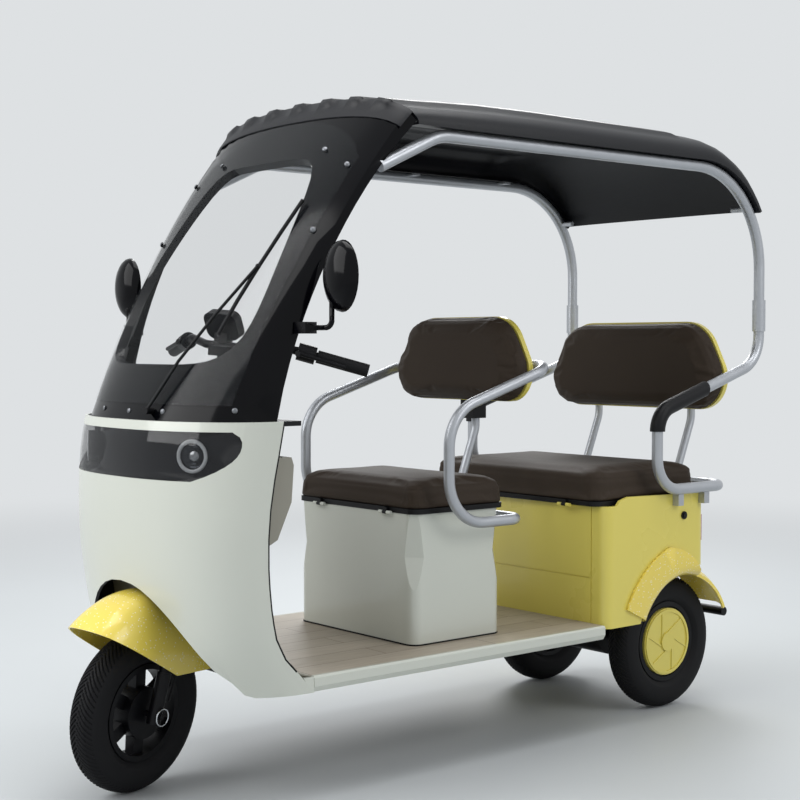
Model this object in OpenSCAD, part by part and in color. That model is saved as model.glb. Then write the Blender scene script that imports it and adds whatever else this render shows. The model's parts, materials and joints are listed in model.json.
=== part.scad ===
// Three-wheeled electric passenger trike with a windscreen, a canopy and two bench seats.
// X is across (left side positive), Y runs to the rear, Z is up, and the ground is Z = 0.
// Stations are measured backwards from the front axle.

/* [Wheels] */
// Outside diameter of the tyres
tyre_d = 410; // [380:2:440]
// Width of the tyres
tyre_w = 84; // [70:1:96]
// Diameter of the rim flange
rim_d = 272; // [250:2:290]
// Distance between the axles
wheelbase = 1717; // [1600:1:1850]
// Distance between the rear tyre centres
rear_track = 502; // [470:2:540]

/* [Steering] */
// Lean of the steering axis from upright
rake = 15; // [10:1:20]
// Distance from the axle back to the steering axis, square to the axis
fork_offset = 37; // [25:1:45]
// Angle that the handlebar is turned to the left
steer_rest = 17; // [0:1:35]
// Height of the handlebar
bar_z = 1092; // [1050:1:1140]
// Half width of the handlebar, ends of the grips
bar_half_w = 332; // [310:1:350]
// Distance that the grips sweep back
bar_sweep = 176; // [150:1:200]

/* [Body] */
// Height of the floor
floor_z = 312; // [290:1:330]
// Half width of the cowl and the floor
body_half_w = 379; // [360:1:400]
// Height of the top of the cowl
cowl_top = 940; // [920:1:960]
// Height of the wheel arch at the nose
arch_top = 536; // [520:1:560]
// Half width of the wheel arch
arch_half_w = 325; // [300:1:335]
// Underside of the floor sills
sill_z = 272; // [255:1:285]
// Wall of the moulded panels
panel_t = 7; // [5:1:10]

/* [Seats] */
// Top edge of the driver's seat box
seat_box_z = 668; // [640:1:700]
// Half width of the driver's seat box
seat_box_half_w = 260; // [230:1:270]
// Front of the driver's seat box behind the front axle
seat_box_s = 708; // [690:1:740]
// Length of the driver's seat box
seat_box_len = 326; // [300:1:345]
// Thickness of the driver's cushion
driver_cushion_h = 92; // [70:1:110]
// Top edge of the rear body
rear_body_z = 656; // [630:1:680]
// Thickness of the rear cushion
rear_cushion_h = 112; // [80:1:130]

/* [Canopy] */
// Diameter of the frame tubes
tube_d = 33; // [28:1:38]
// Diameter of the driver's armrest tube
arm_d = 30; // [26:1:34]
// Distance from the middle to the canopy tubes
canopy_x = 403; // [390:1:420]
// Height of the canopy tubes
canopy_z = 1662; // [1620:1:1700]
// Station of the rear posts
post_s = 2009; // [1980:1:2030]
// Bend radius of the canopy tubes at the rear
canopy_bend = 300; // [240:5:330]
// Rise of the roof at its middle
roof_crown = 104; // [70:1:130]
// Thickness of the roof moulding
roof_t = 9; // [6:1:14]

/* [Hidden] */
$fn = 48;

// Clearance between pieces that seat on each other
seat_gap = 0.3;
wheel_r = tyre_d / 2;
// Reach of the part before the front axle and behind it
front_reach = wheel_r * cos(steer_rest) + 0.25 * tyre_w * sin(steer_rest);
rear_reach = post_s + tube_d / 2;
front_axle_y = (front_reach - rear_reach) / 2;

cream = [0.90, 0.89, 0.82];
yellow = [0.93, 0.80, 0.24];
black = [0.06, 0.06, 0.07];
gloss_black = [0.02, 0.02, 0.02];
steel = [0.62, 0.63, 0.65];
brown = [0.20, 0.14, 0.11];
beige = [0.62, 0.56, 0.46];
wood = [0.58, 0.47, 0.38];
rubber = [0.07, 0.07, 0.07];
clear = [0.85, 0.90, 0.92, 0.4];
red = [0.65, 0.05, 0.05];

// Shared modules

module placed() {
    translate([0, front_axle_y, 0]) children();
}

module both_sides() {
    children();
    mirror([1, 0, 0]) children();
}

// Block from low corner to high corner
module block(low, high) {
    translate(low) cube(high - low);
}

module round_rect(w, h, r) {
    square([w - 2 * r, h], center = true);
    square([w, h - 2 * r], center = true);
    for (i = [-1, 1], j = [-1, 1]) translate([i * (w / 2 - r), j * (h / 2 - r)]) circle(r);
}

// Cylinder from one point to another
module rod(a, b, d) {
    v = b - a;
    length = norm(v);
    pitch = acos(v[2] / length);
    turn = atan2(v[1], v[0]);
    translate(a) rotate([0, pitch, turn]) cylinder(h = length, d = d);
}

function unit(v) = v / norm(v);
function corner_turn(p, i) = 180 - acos(unit(p[i - 1] - p[i]) * unit(p[i + 1] - p[i]));
function corner_cut(p, r, i) = (i == 0 || i == len(p) - 1) ? 0 : r[i - 1] * tan(corner_turn(p, i) / 2);

// Round tube along a path, with a bend radius for each inner point
// The bends are a hair thicker than the straights, which run a little way into them
bend_grow = 0.2;
bend_lap = 1.5;
module bent_tube(p, r, d) {
    last = len(p) - 1;
    for (i = [0 : last - 1]) {
        along = unit(p[i + 1] - p[i]);
        lap_a = i == 0 ? 0 : bend_lap;
        lap_b = i == last - 1 ? 0 : bend_lap;
        rod(p[i] + along * (corner_cut(p, r, i) - lap_a), p[i + 1] - along * (corner_cut(p, r, i + 1) - lap_b), d);
    }
    for (i = [1 : last - 1]) {
        turn = corner_turn(p, i);
        a = unit(p[i - 1] - p[i]);
        b = unit(p[i + 1] - p[i]);
        centre = p[i] + unit(a + b) * r[i - 1] / cos(turn / 2);
        x_dir = unit(p[i] + a * corner_cut(p, r, i) - centre);
        z_dir = cross(x_dir, -a);
        multmatrix([
            [x_dir[0], -a[0], z_dir[0], centre[0]],
            [x_dir[1], -a[1], z_dir[1], centre[1]],
            [x_dir[2], -a[2], z_dir[2], centre[2]],
            [0, 0, 0, 1]
        ]) rotate_extrude(angle = turn) translate([r[i - 1], 0]) circle(d = d + bend_grow);
    }
}

// Shape drawn in the side view, stations across and heights up, extruded between two X values
module side_extrude(x0, x1) {
    translate([x0, 0, 0]) rotate([90, 0, 90]) linear_extrude(x1 - x0) children();
}

// Solid between two grids of points that share their rows and columns
function slab_faces(m, n, loop) =
    let (count = m * n, cols = loop ? n : n - 1)
    concat(
        [for (i = [0 : m - 2], j = [0 : cols - 1]) let (k = (j + 1) % n)
            each [[i * n + j, i * n + k, (i + 1) * n + k], [i * n + j, (i + 1) * n + k, (i + 1) * n + j]]],
        [for (i = [0 : m - 2], j = [0 : cols - 1]) let (k = (j + 1) % n, c = count)
            each [[c + i * n + j, c + (i + 1) * n + k, c + i * n + k],
                  [c + i * n + j, c + (i + 1) * n + j, c + (i + 1) * n + k]]],
        [for (j = [0 : cols - 1]) let (k = (j + 1) % n, c = count, e = (m - 1) * n)
            each [[k, j, c + j], [k, c + j, c + k],
                  [e + j, e + k, c + e + k], [e + j, c + e + k, c + e + j]]],
        loop ? [] : [for (i = [0 : m - 2]) let (c = count, a = i * n, b = (i + 1) * n, z = n - 1)
            each [[a, b, c + b], [a, c + b, c + a],
                  [b + z, a + z, c + a + z], [b + z, c + a + z, c + b + z]]]
    );

module slab(outer, inner, loop = false) {
    m = len(outer);
    n = len(outer[0]);
    points = concat([for (row = outer) each row], [for (row = inner) each row]);
    polyhedron(points, slab_faces(m, n, loop), convexity = 8);
}

// Part of a superellipse of power two to the given power
blunt = 2.4;
function power_sin(a) = sign(sin(a)) * pow(abs(sin(a)), 2 / blunt);
function power_cos(a) = pow(abs(cos(a)), 2 / blunt);

function bezier(p, t) =
    p[0] * pow(1 - t, 3) + p[1] * 3 * t * pow(1 - t, 2) + p[2] * 3 * t * t * (1 - t) + p[3] * pow(t, 3);

// Front cowl

// Columns: height, station of the rear edge, station of the nose
cowl_rows = [
    [sill_z - 5, 290, 30],
    [floor_z, 290, 12],
    [floor_z + 15, 240, 8],
    [364, 202, 0],
    [416, 175, -10],
    [490, 161, -24],
    [587, 153, -40],
    [659, 153, -47],
    [730, 159, -50],
    [801, 171, -51],
    [847, 181, -51],
    [890, 190, -46],
    [cowl_top, 200, -34]
];
function cowl_edge(z) = lookup(z, [for (row = cowl_rows) [row[0], row[1]]]);
function cowl_nose(z) = lookup(z, [for (row = cowl_rows) [row[0], row[2]]]);
function arch_z(x) = arch_top - (arch_top - sill_z) * min(1, pow(abs(x) / arch_half_w, 2.2));

// Point of the cowl at angle a from the nose, depth d under its skin
function cowl_point(a, z, d) =
    [(body_half_w - d) * power_sin(a), cowl_edge(z) + (cowl_nose(z) + d - cowl_edge(z)) * power_cos(a), z];
// Point of the cowl at distance x from the middle, depth d under its skin
function cowl_spot(x, z, d) =
    let (t = min(1, abs(x) / body_half_w), c = pow(1 - pow(t, blunt), 1 / blunt))
    [x * (body_half_w - d) / body_half_w, cowl_edge(z) + (cowl_nose(z) + d - cowl_edge(z)) * c, z];

cowl_cols = 36;
cowl_steps = 12;
function cowl_skin(d) = [for (i = [0 : cowl_steps]) [for (j = [0 : cowl_cols])
    let (a = -90 + 180 * j / cowl_cols, x = body_half_w * power_sin(a))
    cowl_point(a, cowl_top + (arch_z(x) - cowl_top) * i / cowl_steps, d)]];

// Headlight window
lamp_low = 799;
lamp_high = 917;
lamp_inset = 18;
lamp_half_w = body_half_w - lamp_inset;
lamp_cut = 85;
lamp_gap = 0.4;
function lamp_edge(z) =
    let (f = (z - lamp_low) / (lamp_high - lamp_low)) lamp_half_w - lamp_cut * pow(1 - f, 4) - 16 * pow(f, 10);
lamp_rows = 10;
function lamp_z(i) = lamp_low + (lamp_high - lamp_low) * i / lamp_rows;
lamp_cols = 28;
function lamp_skin(d, inset) = [for (i = [0 : lamp_rows]) [for (j = [0 : lamp_cols])
    let (z = lamp_low + inset + (lamp_high - lamp_low - 2 * inset) * i / lamp_rows)
    cowl_spot((lamp_edge(lamp_z(i)) - inset) * (2 * j / lamp_cols - 1), z, d)]];

module lamp_window() {
    outline = concat(
        [for (i = [0 : lamp_rows]) [lamp_edge(lamp_z(i)), lamp_z(i)]],
        [for (i = [lamp_rows : -1 : 0]) [-lamp_edge(lamp_z(i)), lamp_z(i)]]
    );
    translate([0, 150, 0]) rotate([90, 0, 0]) linear_extrude(300) polygon(outline);
}

module front_cowl() {
    color(cream) difference() {
        slab(cowl_skin(0), cowl_skin(panel_t));
        lamp_window();
    }
}

lamp_lens_t = 4;
module headlight_lens() {
    color(clear) slab(lamp_skin(1 + lamp_lens_t, lamp_gap), lamp_skin(1, lamp_gap));
}

lamp_depth = 46;
lamp_x = 278;
lamp_turn = 30;
lamp_mid_z = 857;
lamp_ring_d = 84;
// Depth of the lamp bowl behind the skin, shallow at its rim
function bowl_depth(i, j) =
    (i == 0 || i == lamp_rows || j == 0 || j == lamp_cols) ? panel_t + seat_gap : lamp_depth;
function bowl_skin(extra) = [for (i = [0 : lamp_rows]) [for (j = [0 : lamp_cols])
    let (grow = -8, z = lamp_low + grow + (lamp_high - lamp_low - 2 * grow) * i / lamp_rows)
    cowl_spot(min(body_half_w - 12, lamp_edge(lamp_z(i)) - grow) * (2 * j / lamp_cols - 1), z,
        bowl_depth(i, j) + extra)]];

module headlight_housing() {
    color(gloss_black) slab(bowl_skin(4), bowl_skin(0));
    color(steel) for (side = [-1, 1]) {
        seat = cowl_spot(side * lamp_x, lamp_mid_z, lamp_depth + 2);
        translate(seat) rotate([90, 0, side * lamp_turn]) difference() {
            cylinder(h = 26, d = lamp_ring_d);
            translate([0, 0, 8]) cylinder(h = 30, d = lamp_ring_d - 22);
        }
    }
}

// Inner panel that closes the cowl, with the column cover and two pockets
// Columns: height, station of its front face
shelf_t = 12;
leg_rows = [[cowl_top - shelf_t, 222], [870, 212], [800, 202], [730, 190], [650, 185], [560, 189], [470, 205],
    [400, 232], [345, 258], [floor_z, 286]];
leg_t = 12;
leg_half_w = body_half_w - panel_t - 0.5;
// Beside the wheel the panel lies just inside the cowl's rear edge
leg_well_x = 170;
leg_sides = [for (z = [cowl_top - shelf_t, 890, 801, 730, 659, 587, 490, 416, 364, 327, floor_z])
    [z, cowl_edge(z) - leg_t - 2]];
cover_r = 58;
cover_bore = 46;
pocket_inset = 31.5;
pocket_x = [180, leg_half_w - pocket_inset];
module leg_outline(front, back) {
    polygon(concat([for (r = front) [r[1], r[0]]],
        [for (i = [len(back) - 1 : -1 : 0]) [back[i][1] + leg_t, back[i][0]]]));
}

module pocket_form(inset) {
    mouth = inset > 0 ? 870 : 850;
    side_extrude(pocket_x[0] + inset, pocket_x[1] - inset)
        polygon([[150, mouth], [250 - inset, mouth], [257 - inset, 830], [250 - inset, 740],
            [208 - inset, 650 + inset], [152, 622 + inset]]);
}

module leg_shield() {
    color(beige) difference() {
        union() {
            side_extrude(-leg_well_x, leg_well_x) leg_outline(leg_rows, leg_rows);
            both_sides() {
                side_extrude(leg_well_x - 1, leg_half_w - 1.5) leg_outline(leg_sides, leg_sides);
                side_extrude(leg_well_x - 7, leg_well_x) leg_outline(leg_sides, leg_rows);
            }
            intersection() {
                union() {
                    on_column() translate([0, 0, 330]) cylinder(h = 520, r = cover_r);
                    head_brace(brace_d + 36);
                }
                side_extrude(-cover_r, cover_r)
                    polygon(concat([for (r = leg_rows) [r[1], r[0]]], [[500, floor_z], [500, cowl_top - shelf_t]]));
            }
            both_sides() pocket_form(0);
        }
        on_column() translate([0, 0, 200]) cylinder(h = 800, r = cover_bore);
        head_brace(brace_d + 20);
        both_sides() difference() {
            pocket_form(5);
            side_extrude(0, leg_half_w) polygon(concat([[0, floor_z], [0, cowl_top]],
                [for (r = leg_sides) [r[1] + leg_t, r[0]]]));
        }
    }
}

// Shelf under the windscreen
shelf_s = 300;
module dashboard() {
    z = cowl_top - shelf_t;
    color(black) difference() {
        translate([0, 0, z]) linear_extrude(shelf_t) union() {
            polygon([for (j = [0 : cowl_cols]) let (p = cowl_point(-90 + 180 * j / cowl_cols, cowl_top, panel_t + 0.5))
                [p[0], p[1]]]);
            translate([-leg_half_w, cowl_edge(z) - 1]) square([2 * leg_half_w, 60]);
            translate([0, shelf_s - 62]) circle(62);
            translate([-62, cowl_edge(z)]) square([124, shelf_s - 62 - cowl_edge(z)]);
        }
        on_column() translate([0, 0, 600]) cylinder(h = 400, r = cover_bore);
    }
}

// Windscreen surround

// Side view curves of the surround, from the cowl up to the roof: its rear edge and its nose
screen_edge = [[190, cowl_top], [225, 1190], [370, 1490], [578, 1690]];
screen_nose = [[-14, cowl_top], [110, 1200], [340, 1500], [528, 1768]];
screen_inset = 14;
screen_low_w = body_half_w - screen_inset;
screen_high_w = 428;
surround_t = 22;
// Opening of the surround, as shares of the half angle across and of the height
opening_a = 0.605;
opening_v = [0.17, 0.805];
// Roundness of the opening's corners above and below
opening_power = [7, 4];
function opening_half(v) = opening_a - 0.42 * pow(v, 1.9);

function screen_point(a, v, d) =
    let (e = bezier(screen_edge, v), n = bezier(screen_nose, v),
        w = screen_low_w + (screen_high_w - screen_low_w) * v,
        m = n + d * unit(e - n), q = e + (m - e) * power_cos(a * 90))
    [(w - d) * power_sin(a * 90), q[0], q[1]];

// Rings run from the opening (k = 0) to the outer edge (k = 1)
screen_steps = 56;
screen_rings = 4;
function ring_uv(angle, k) =
    let (c = cos(angle), s = sin(angle),
        p = s > 0 ? opening_power[0] : opening_power[1],
        round_r = 1 / pow(pow(abs(c), p) + pow(abs(s), p), 1 / p),
        square_r = 1 / max(abs(c), abs(s)),
        v_mid = (opening_v[0] + opening_v[1]) / 2, v_half = (opening_v[1] - opening_v[0]) / 2,
        inner_v = v_mid + v_half * round_r * s,
        inner = [opening_half(inner_v) * round_r * c, inner_v],
        outer = [square_r * c, 0.5 + 0.5 * square_r * s])
    inner + (outer - inner) * k;
function surround_skin(d) = [for (i = [0 : screen_rings]) [for (j = [0 : screen_steps - 1])
    let (uv = ring_uv(360 * j / screen_steps, i / screen_rings)) screen_point(uv[0], uv[1], d)]];

module windscreen_surround() {
    color(gloss_black) difference() {
        slab(surround_skin(0), surround_skin(surround_t), loop = true);
        canopy_tubes(2 * seat_gap);
    }
}

screen_t = 4;
screen_gap = 0.9;
screen_a = 0.66;
screen_low = 0.05;
// Top edge of the sheet, an arch
function screen_top(a) = 0.93 - 0.28 * a * a;
function screen_skin(d) = [for (i = [0 : 12]) [for (j = [0 : 20])
    let (a = screen_a * (j / 10 - 1)) screen_point(a, screen_low + (screen_top(a) - screen_low) * i / 12, d)]];

module windscreen() {
    color(clear) slab(screen_skin(-screen_gap), screen_skin(-screen_t - screen_gap));
}

// Roof

roof_half_w = 432;
roof_edge_gap = 9;
roof_lip_angle = 33;
roof_edge_r = canopy_bend + tube_d / 2 + roof_edge_gap;
bend_s = post_s - canopy_bend;
bend_z = canopy_z - canopy_bend;
roof_edge_z = bend_z + roof_edge_r;
roof_s0 = screen_edge[3][0] + 2;
roof_lean = (screen_edge[3][0] - screen_nose[3][0]) / (screen_nose[3][1] - screen_edge[3][1]);
// Raised ribs along the roof and its visor: distances across, rear end
rib_x = [0, 125, 240, 345];
rib_back = 1655;
rib_half = 28;
rib_wall = 8;
rib_h = 7;
rib_edges = [-rib_half, rib_wall - rib_half, 0, rib_half - rib_wall, rib_half, 2 * rib_half];
roof_half_cols = concat([0, rib_half - rib_wall, rib_half, 2 * rib_half], [for (i = [1 : 3], e = rib_edges) rib_x[i] + e],
    [for (k = [0.9815, 0.998, 1]) k * roof_half_w]);
roof_last = len(roof_half_cols) - 1;
roof_x = concat([for (i = [roof_last : -1 : 1]) -roof_half_cols[i]], roof_half_cols);
roof_cols = len(roof_x);
roof_flat = [roof_s0, roof_s0 + 30, roof_s0 + 52, 720, 850, 1050, 1250, 1450, rib_back - rib_half, rib_back, bend_s];
roof_flat_rows = len(roof_flat) - 1;
roof_bend_rows = 9;
// Side view of the roof edge: point and outward direction for row i
function roof_row(i) = i <= roof_flat_rows
    ? [[roof_flat[i], roof_edge_z], 90]
    : let (a = 90 - (90 - roof_lip_angle) * (i - roof_flat_rows) / roof_bend_rows)
        [[bend_s + roof_edge_r * cos(a), bend_z + roof_edge_r * sin(a)], a];
// Rise of the crown along the roof, low at its front and at its lip
function roof_rise(i) =
    let (f = i <= roof_flat_rows ? (roof_flat[i] - roof_s0) / (bend_s - roof_s0) : 1)
    roof_crown * (i <= roof_flat_rows
        ? 0.78 + 0.22 * sin(min(90, 240 * f)) - 0.10 * max(0, f - 0.4)
        : 0.94 - 0.78 * pow((i - roof_flat_rows) / roof_bend_rows, 2));
// Height of the ribs over the crown
function rib_rise(x, s) = max([for (c = rib_x)
    let (along = max(0, s - rib_back + rib_half))
    rib_h * max(0, min(1, (rib_half - norm([abs(x) - c, along])) / rib_wall))]);
// Turned-in flange that rests on the tubes
flange_x = canopy_x - 12;
flange_t = 6;
function roof_share(j) = (j < 2 || j > roof_cols + 1) ? 0
    : pow(1 - pow(min(1, abs(roof_x[j - 2]) / roof_half_w), blunt), 1 / blunt);
// Column j of the roof at depth d: distance across and height over the edge
function roof_column(i, j, d) =
    let (side = j < 2 ? -1 : 1, low = 2 * seat_gap - roof_edge_gap + (d > 0 ? flange_t : 0))
    (j == 0 || j == roof_cols + 3) ? [side * flange_x, low]
    : (j == 1 || j == roof_cols + 2) ? [side * (roof_half_w - d), low]
    : [(1 - d / roof_half_w) * roof_x[j - 2], (roof_rise(i) - d) * roof_share(j)
        + (i > roof_flat_rows ? 0 : rib_rise(roof_x[j - 2], roof_flat[i]))];
function roof_skin(d) = [for (i = [0 : roof_flat_rows + roof_bend_rows]) [for (j = [0 : roof_cols + 3])
    let (row = roof_row(i), p = roof_column(i, j, d),
        forward = (i == 0 ? 1 : i == 1 ? 0.4 : i == 2 ? 0.1 : 0) * roof_lean * max(0, p[1]))
    [p[0], row[0][0] + p[1] * cos(row[1]) - forward, row[0][1] + p[1] * sin(row[1])]]];

// Visor that carries the roof down over the top of the surround
visor_rows = [[0.938, 3, 0], [0.95, 4.5, 0], [0.966, 4.5, 0], [0.974, 4.5, 0.6], [0.982, 4.5, 1], [0.99, 4, 1], [1, 2.5, 1]];
function visor_a(x) = sign(x) * asin(pow(min(1, abs(x) / roof_half_w), blunt / 2)) / 90;
function visor_gap(x) = seat_gap + 1.2 * pow(min(1, abs(x) / roof_half_w), 6);
function visor_skin(outer) = [for (r = visor_rows) [for (x = roof_x)
    screen_point(visor_a(0.985 * x), r[0], -visor_gap(x) - outer * (r[1] + r[2] * rib_rise(x, roof_s0)))]];
module roof_visor() {
    color(black) slab(visor_skin(1), visor_skin(0));
}

module roof() {
    color(black) slab(roof_skin(roof_t), roof_skin(0));
}

// Canopy tubes and the rear frame

sleeve_low = 1167;
sleeve_high = 1265;
sleeve_d = tube_d + 8;
function canopy_path(x) = [[x, 475, 1569], [x, 673, canopy_z], [x, post_s, canopy_z], [x, post_s, sleeve_high - 20]];

module canopy_tubes(grow) {
    for (x = [-canopy_x, canopy_x]) bent_tube(canopy_path(x), [150, canopy_bend], tube_d + 2 * grow);
}

// Lugs that the roof is bolted to
lug_s = [760, 1240, 1640];
lug_angle = 38;
module canopy_frame() {
    color(steel) {
        canopy_tubes(0);
        both_sides() {
            for (s = lug_s) block([canopy_x - 52, s - 14, canopy_z + 3], [canopy_x - 8, s + 14, canopy_z + 9]);
            rod([canopy_x - 58, bend_s + canopy_bend * cos(lug_angle), bend_z + canopy_bend * sin(lug_angle)],
                [canopy_x, bend_s + canopy_bend * cos(lug_angle), bend_z + canopy_bend * sin(lug_angle)], 16);
        }
        for (x = [-canopy_x, canopy_x]) translate([x, post_s, sleeve_low]) difference() {
            cylinder(h = sleeve_high - sleeve_low, d = sleeve_d);
            translate([0, 0, -1]) cylinder(h = sleeve_high - 20 - sleeve_low + 1, d = tube_d + 2 * seat_gap);
        }
    }
}

arm_front_s = 1530;
arm_low_z = 693;
arm_back_s = 1850;
arm_slope = 0.311;
arm_rear_z = 1073;
arm_front_z = arm_rear_z - (post_s - arm_front_s) * arm_slope;
function rear_path() = [
    [canopy_x, post_s, sleeve_high - 20 - seat_gap], [canopy_x, post_s, arm_rear_z],
    [canopy_x, arm_front_s, arm_front_z], [canopy_x, arm_front_s, arm_low_z],
    [canopy_x, arm_back_s, arm_low_z], [-canopy_x, arm_back_s, arm_low_z],
    [-canopy_x, arm_front_s, arm_low_z], [-canopy_x, arm_front_s, arm_front_z],
    [-canopy_x, post_s, arm_rear_z], [-canopy_x, post_s, sleeve_high - 20 - seat_gap]
];
rear_bends = [110, 75, 95, 60, 60, 95, 75, 110];
foot_s = [1640, 1760];
module rear_frame() {
    color(steel) {
        bent_tube(rear_path(), rear_bends, tube_d);
        both_sides() for (s = foot_s)
            block([rear_half_w + seat_gap, s - 12, rear_body_z - 14], [canopy_x, s + 12, arm_low_z]);
    }
}

cover_t = 6;
module armrest_covers() {
    color(black) both_sides() difference() {
        intersection() {
            bent_tube([for (i = [1 : 3]) rear_path()[i]], [rear_bends[1]], tube_d + 2 * cover_t);
            block([canopy_x - 40, arm_front_s - 40, arm_front_z - 55], [canopy_x + 40, arm_front_s + 215, 1100]);
        }
        bent_tube([for (i = [1 : 3]) rear_path()[i]], [rear_bends[1]], tube_d + 2 * seat_gap);
    }
}

// Chassis

rail_x = 130;
rail_w = 40;
rail_low = 250;
rail_front = 262;
rail_back = 1958;
deck_t = 12;
rail_high = floor_z - deck_t;
member_s = [300, 720, 1020, 1350, 1940];
stem_d = 34;
head_d = 54;
head_range = [400, 610];

// Frame of the fork: origin on the axle, Z along the steering axis
module on_fork() {
    translate([0, 0, wheel_r]) rotate([-rake, 0, 0]) children();
}
// Frame of the steering column: origin level with the axle, on the steering axis
module on_column() {
    on_fork() translate([0, fork_offset, 0]) children();
}
function column_spot(h) = [0, fork_offset * cos(rake) + h * sin(rake),
    wheel_r - fork_offset * sin(rake) + h * cos(rake)];
// Turns the straight-ahead steering to its rest angle
module steered() {
    on_column() rotate([0, 0, steer_rest]) translate([0, -fork_offset, 0]) rotate([rake, 0, 0])
        translate([0, 0, -wheel_r]) children();
}

brace_d = 30;
module head_brace(d) {
    bent_tube([column_spot(head_range[0] + 40), [0, 222, 480], [0, 256, rail_high - 16]], [120], d);
}

module chassis_frame() {
    color(black) {
        both_sides() block([rail_x - rail_w / 2, rail_front, rail_low], [rail_x + rail_w / 2, rail_back, rail_high]);
        both_sides() block([rail_x - 22, 1070, rail_low - 8], [rail_x + 34, 1130, rail_low]);
        for (s = member_s) block([-rail_x, s - 15, rail_low + 8], [rail_x, s + 15, rail_high]);
        both_sides() for (s = [420, 900]) block([rail_x, s - 15, rail_low + 15], [leg_half_w - 30 - seat_gap, s + 15, rail_high]);
        difference() {
            union() {
                on_column() translate([0, 0, head_range[0]]) cylinder(h = head_range[1] - head_range[0], d = head_d);
                head_brace(brace_d);
                block([-rail_x, rail_front, rail_low + 8], [rail_x, rail_front + 40, rail_high]);
            }
            on_column() translate([0, 0, head_range[0] - 200]) cylinder(h = 600, d = stem_d + 1);
        }
    }
}

battery = [390, 181, 170];
module battery_pack() {
    color(black) translate([-battery[0] / 2, seat_box_s + (seat_box_len - battery[1]) / 2, floor_z]) cube(battery);
}

floor_front = 270;
rear_body_s = 1335;
module floor_panel() {
    color(wood) block([-leg_half_w + 6, floor_front, floor_z - deck_t], [leg_half_w - 6, rear_body_s, floor_z]);
}

module side_sills() {
    color(cream) both_sides() translate([0, 290, 0]) rotate([-90, 0, 0]) linear_extrude(rear_body_s - 290)
        polygon([[leg_half_w - 6, -floor_z], [body_half_w - 4, -floor_z], [body_half_w, -floor_z + 5],
            [body_half_w, -sill_z - 14], [body_half_w - 8, -sill_z], [leg_half_w - 30, -sill_z],
            [leg_half_w - 30, -sill_z - 7], [leg_half_w - 6, -sill_z - 7]]);
}

// Driver's seat

box_wall = 7;
box_corner = 32;
// Hollow facets at the corners: height under the top edge, depth from the corner
box_facet = [[-20, 14], [0, 15], [118, 26], [212, 12]];
module box_form(inset, low, high) {
    a = seat_box_s + inset;
    b = seat_box_s + seat_box_len - inset;
    difference() {
        translate([0, (a + b) / 2, low]) linear_extrude(high - low)
            round_rect(2 * (seat_box_half_w - inset), b - a, box_corner - inset);
        for (i = [-1, 1], j = [0, 1])
            translate([i * seat_box_half_w, seat_box_s + j * seat_box_len, seat_box_z])
                rotate([0, 0, atan2(j - 0.5, i * 0.5)]) rotate([90, 0, 0]) translate([0, 0, -100]) linear_extrude(200)
                    polygon(concat([[60, 20]], [for (f = box_facet) [-f[1] - inset, -f[0]]], [[60, -box_facet[3][0]]]));
    }
}
module driver_seat_box() {
    color(cream) {
        difference() {
            box_form(0, floor_z, seat_box_z);
            box_form(box_wall, floor_z - 1, seat_box_z + 10);
        }
        fixed_knuckles(driver_hinge, seat_box_s, 150);
    }
}

// Hinges of the seat lids: fixed outer knuckles on a leaf, and a middle one on the lid's board
knuckle_d = 10;
knuckle_w = 16;
module knuckle(hinge, x, w) {
    translate([x, hinge[0], hinge[1]]) rotate([0, 90, 0]) cylinder(h = w, d = knuckle_d, center = true);
}
module fixed_knuckles(hinge, face_s, x) {
    for (side = [-1, 1], k = [-1, 1]) {
        knuckle(hinge, side * x + k * (knuckle_w + 1), knuckle_w);
        translate([side * x + k * (knuckle_w + 1) - knuckle_w / 2, hinge[0], hinge[1] - knuckle_d / 2])
            cube([knuckle_w, face_s + 1 - hinge[0], 4]);
    }
}
board_t = 14;
module seat_board(w, a, b, low, hinge, x) {
    color(black) {
        translate([0, (a + b) / 2, low + seat_gap]) linear_extrude(board_t) round_rect(w, b - a, 30);
        for (side = [-1, 1]) {
            knuckle(hinge, side * x, knuckle_w);
            translate([side * x - knuckle_w / 2, hinge[0] - 2, low + seat_gap]) cube([knuckle_w, 14, board_t]);
        }
    }
}

cushion_over = 13;
driver_cushion_len = seat_box_len + 24;
driver_cushion_s = seat_box_s - 9;
driver_hinge = [driver_cushion_s, seat_box_z + seat_gap];
driver_cushion_w = 2 * (seat_box_half_w + cushion_over);
// Cushion with rounded edges, from its low face up
module cushion(w, a, b, low, h, corner, edge) {
    mid = (a + b) / 2;
    intersection() {
        translate([0, mid, low]) linear_extrude(h) round_rect(w, b - a, corner);
        translate([-w / 2, mid, low + h / 2]) rotate([90, 0, 90]) linear_extrude(w) round_rect(b - a, h, edge);
        translate([0, a, low + h / 2]) rotate([-90, 0, 0]) linear_extrude(b - a) round_rect(w, h, edge);
    }
}
module driver_seat_board() {
    seat_board(driver_cushion_w - 12, driver_cushion_s + 7, driver_cushion_s + driver_cushion_len - 6, seat_box_z,
        driver_hinge, 150);
}
module driver_seat_cushion() {
    color(brown) cushion(driver_cushion_w, driver_cushion_s, driver_cushion_s + driver_cushion_len,
        seat_box_z + board_t + 2 * seat_gap, driver_cushion_h - board_t, 45, 24);
}

driver_back_w = 550;
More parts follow.
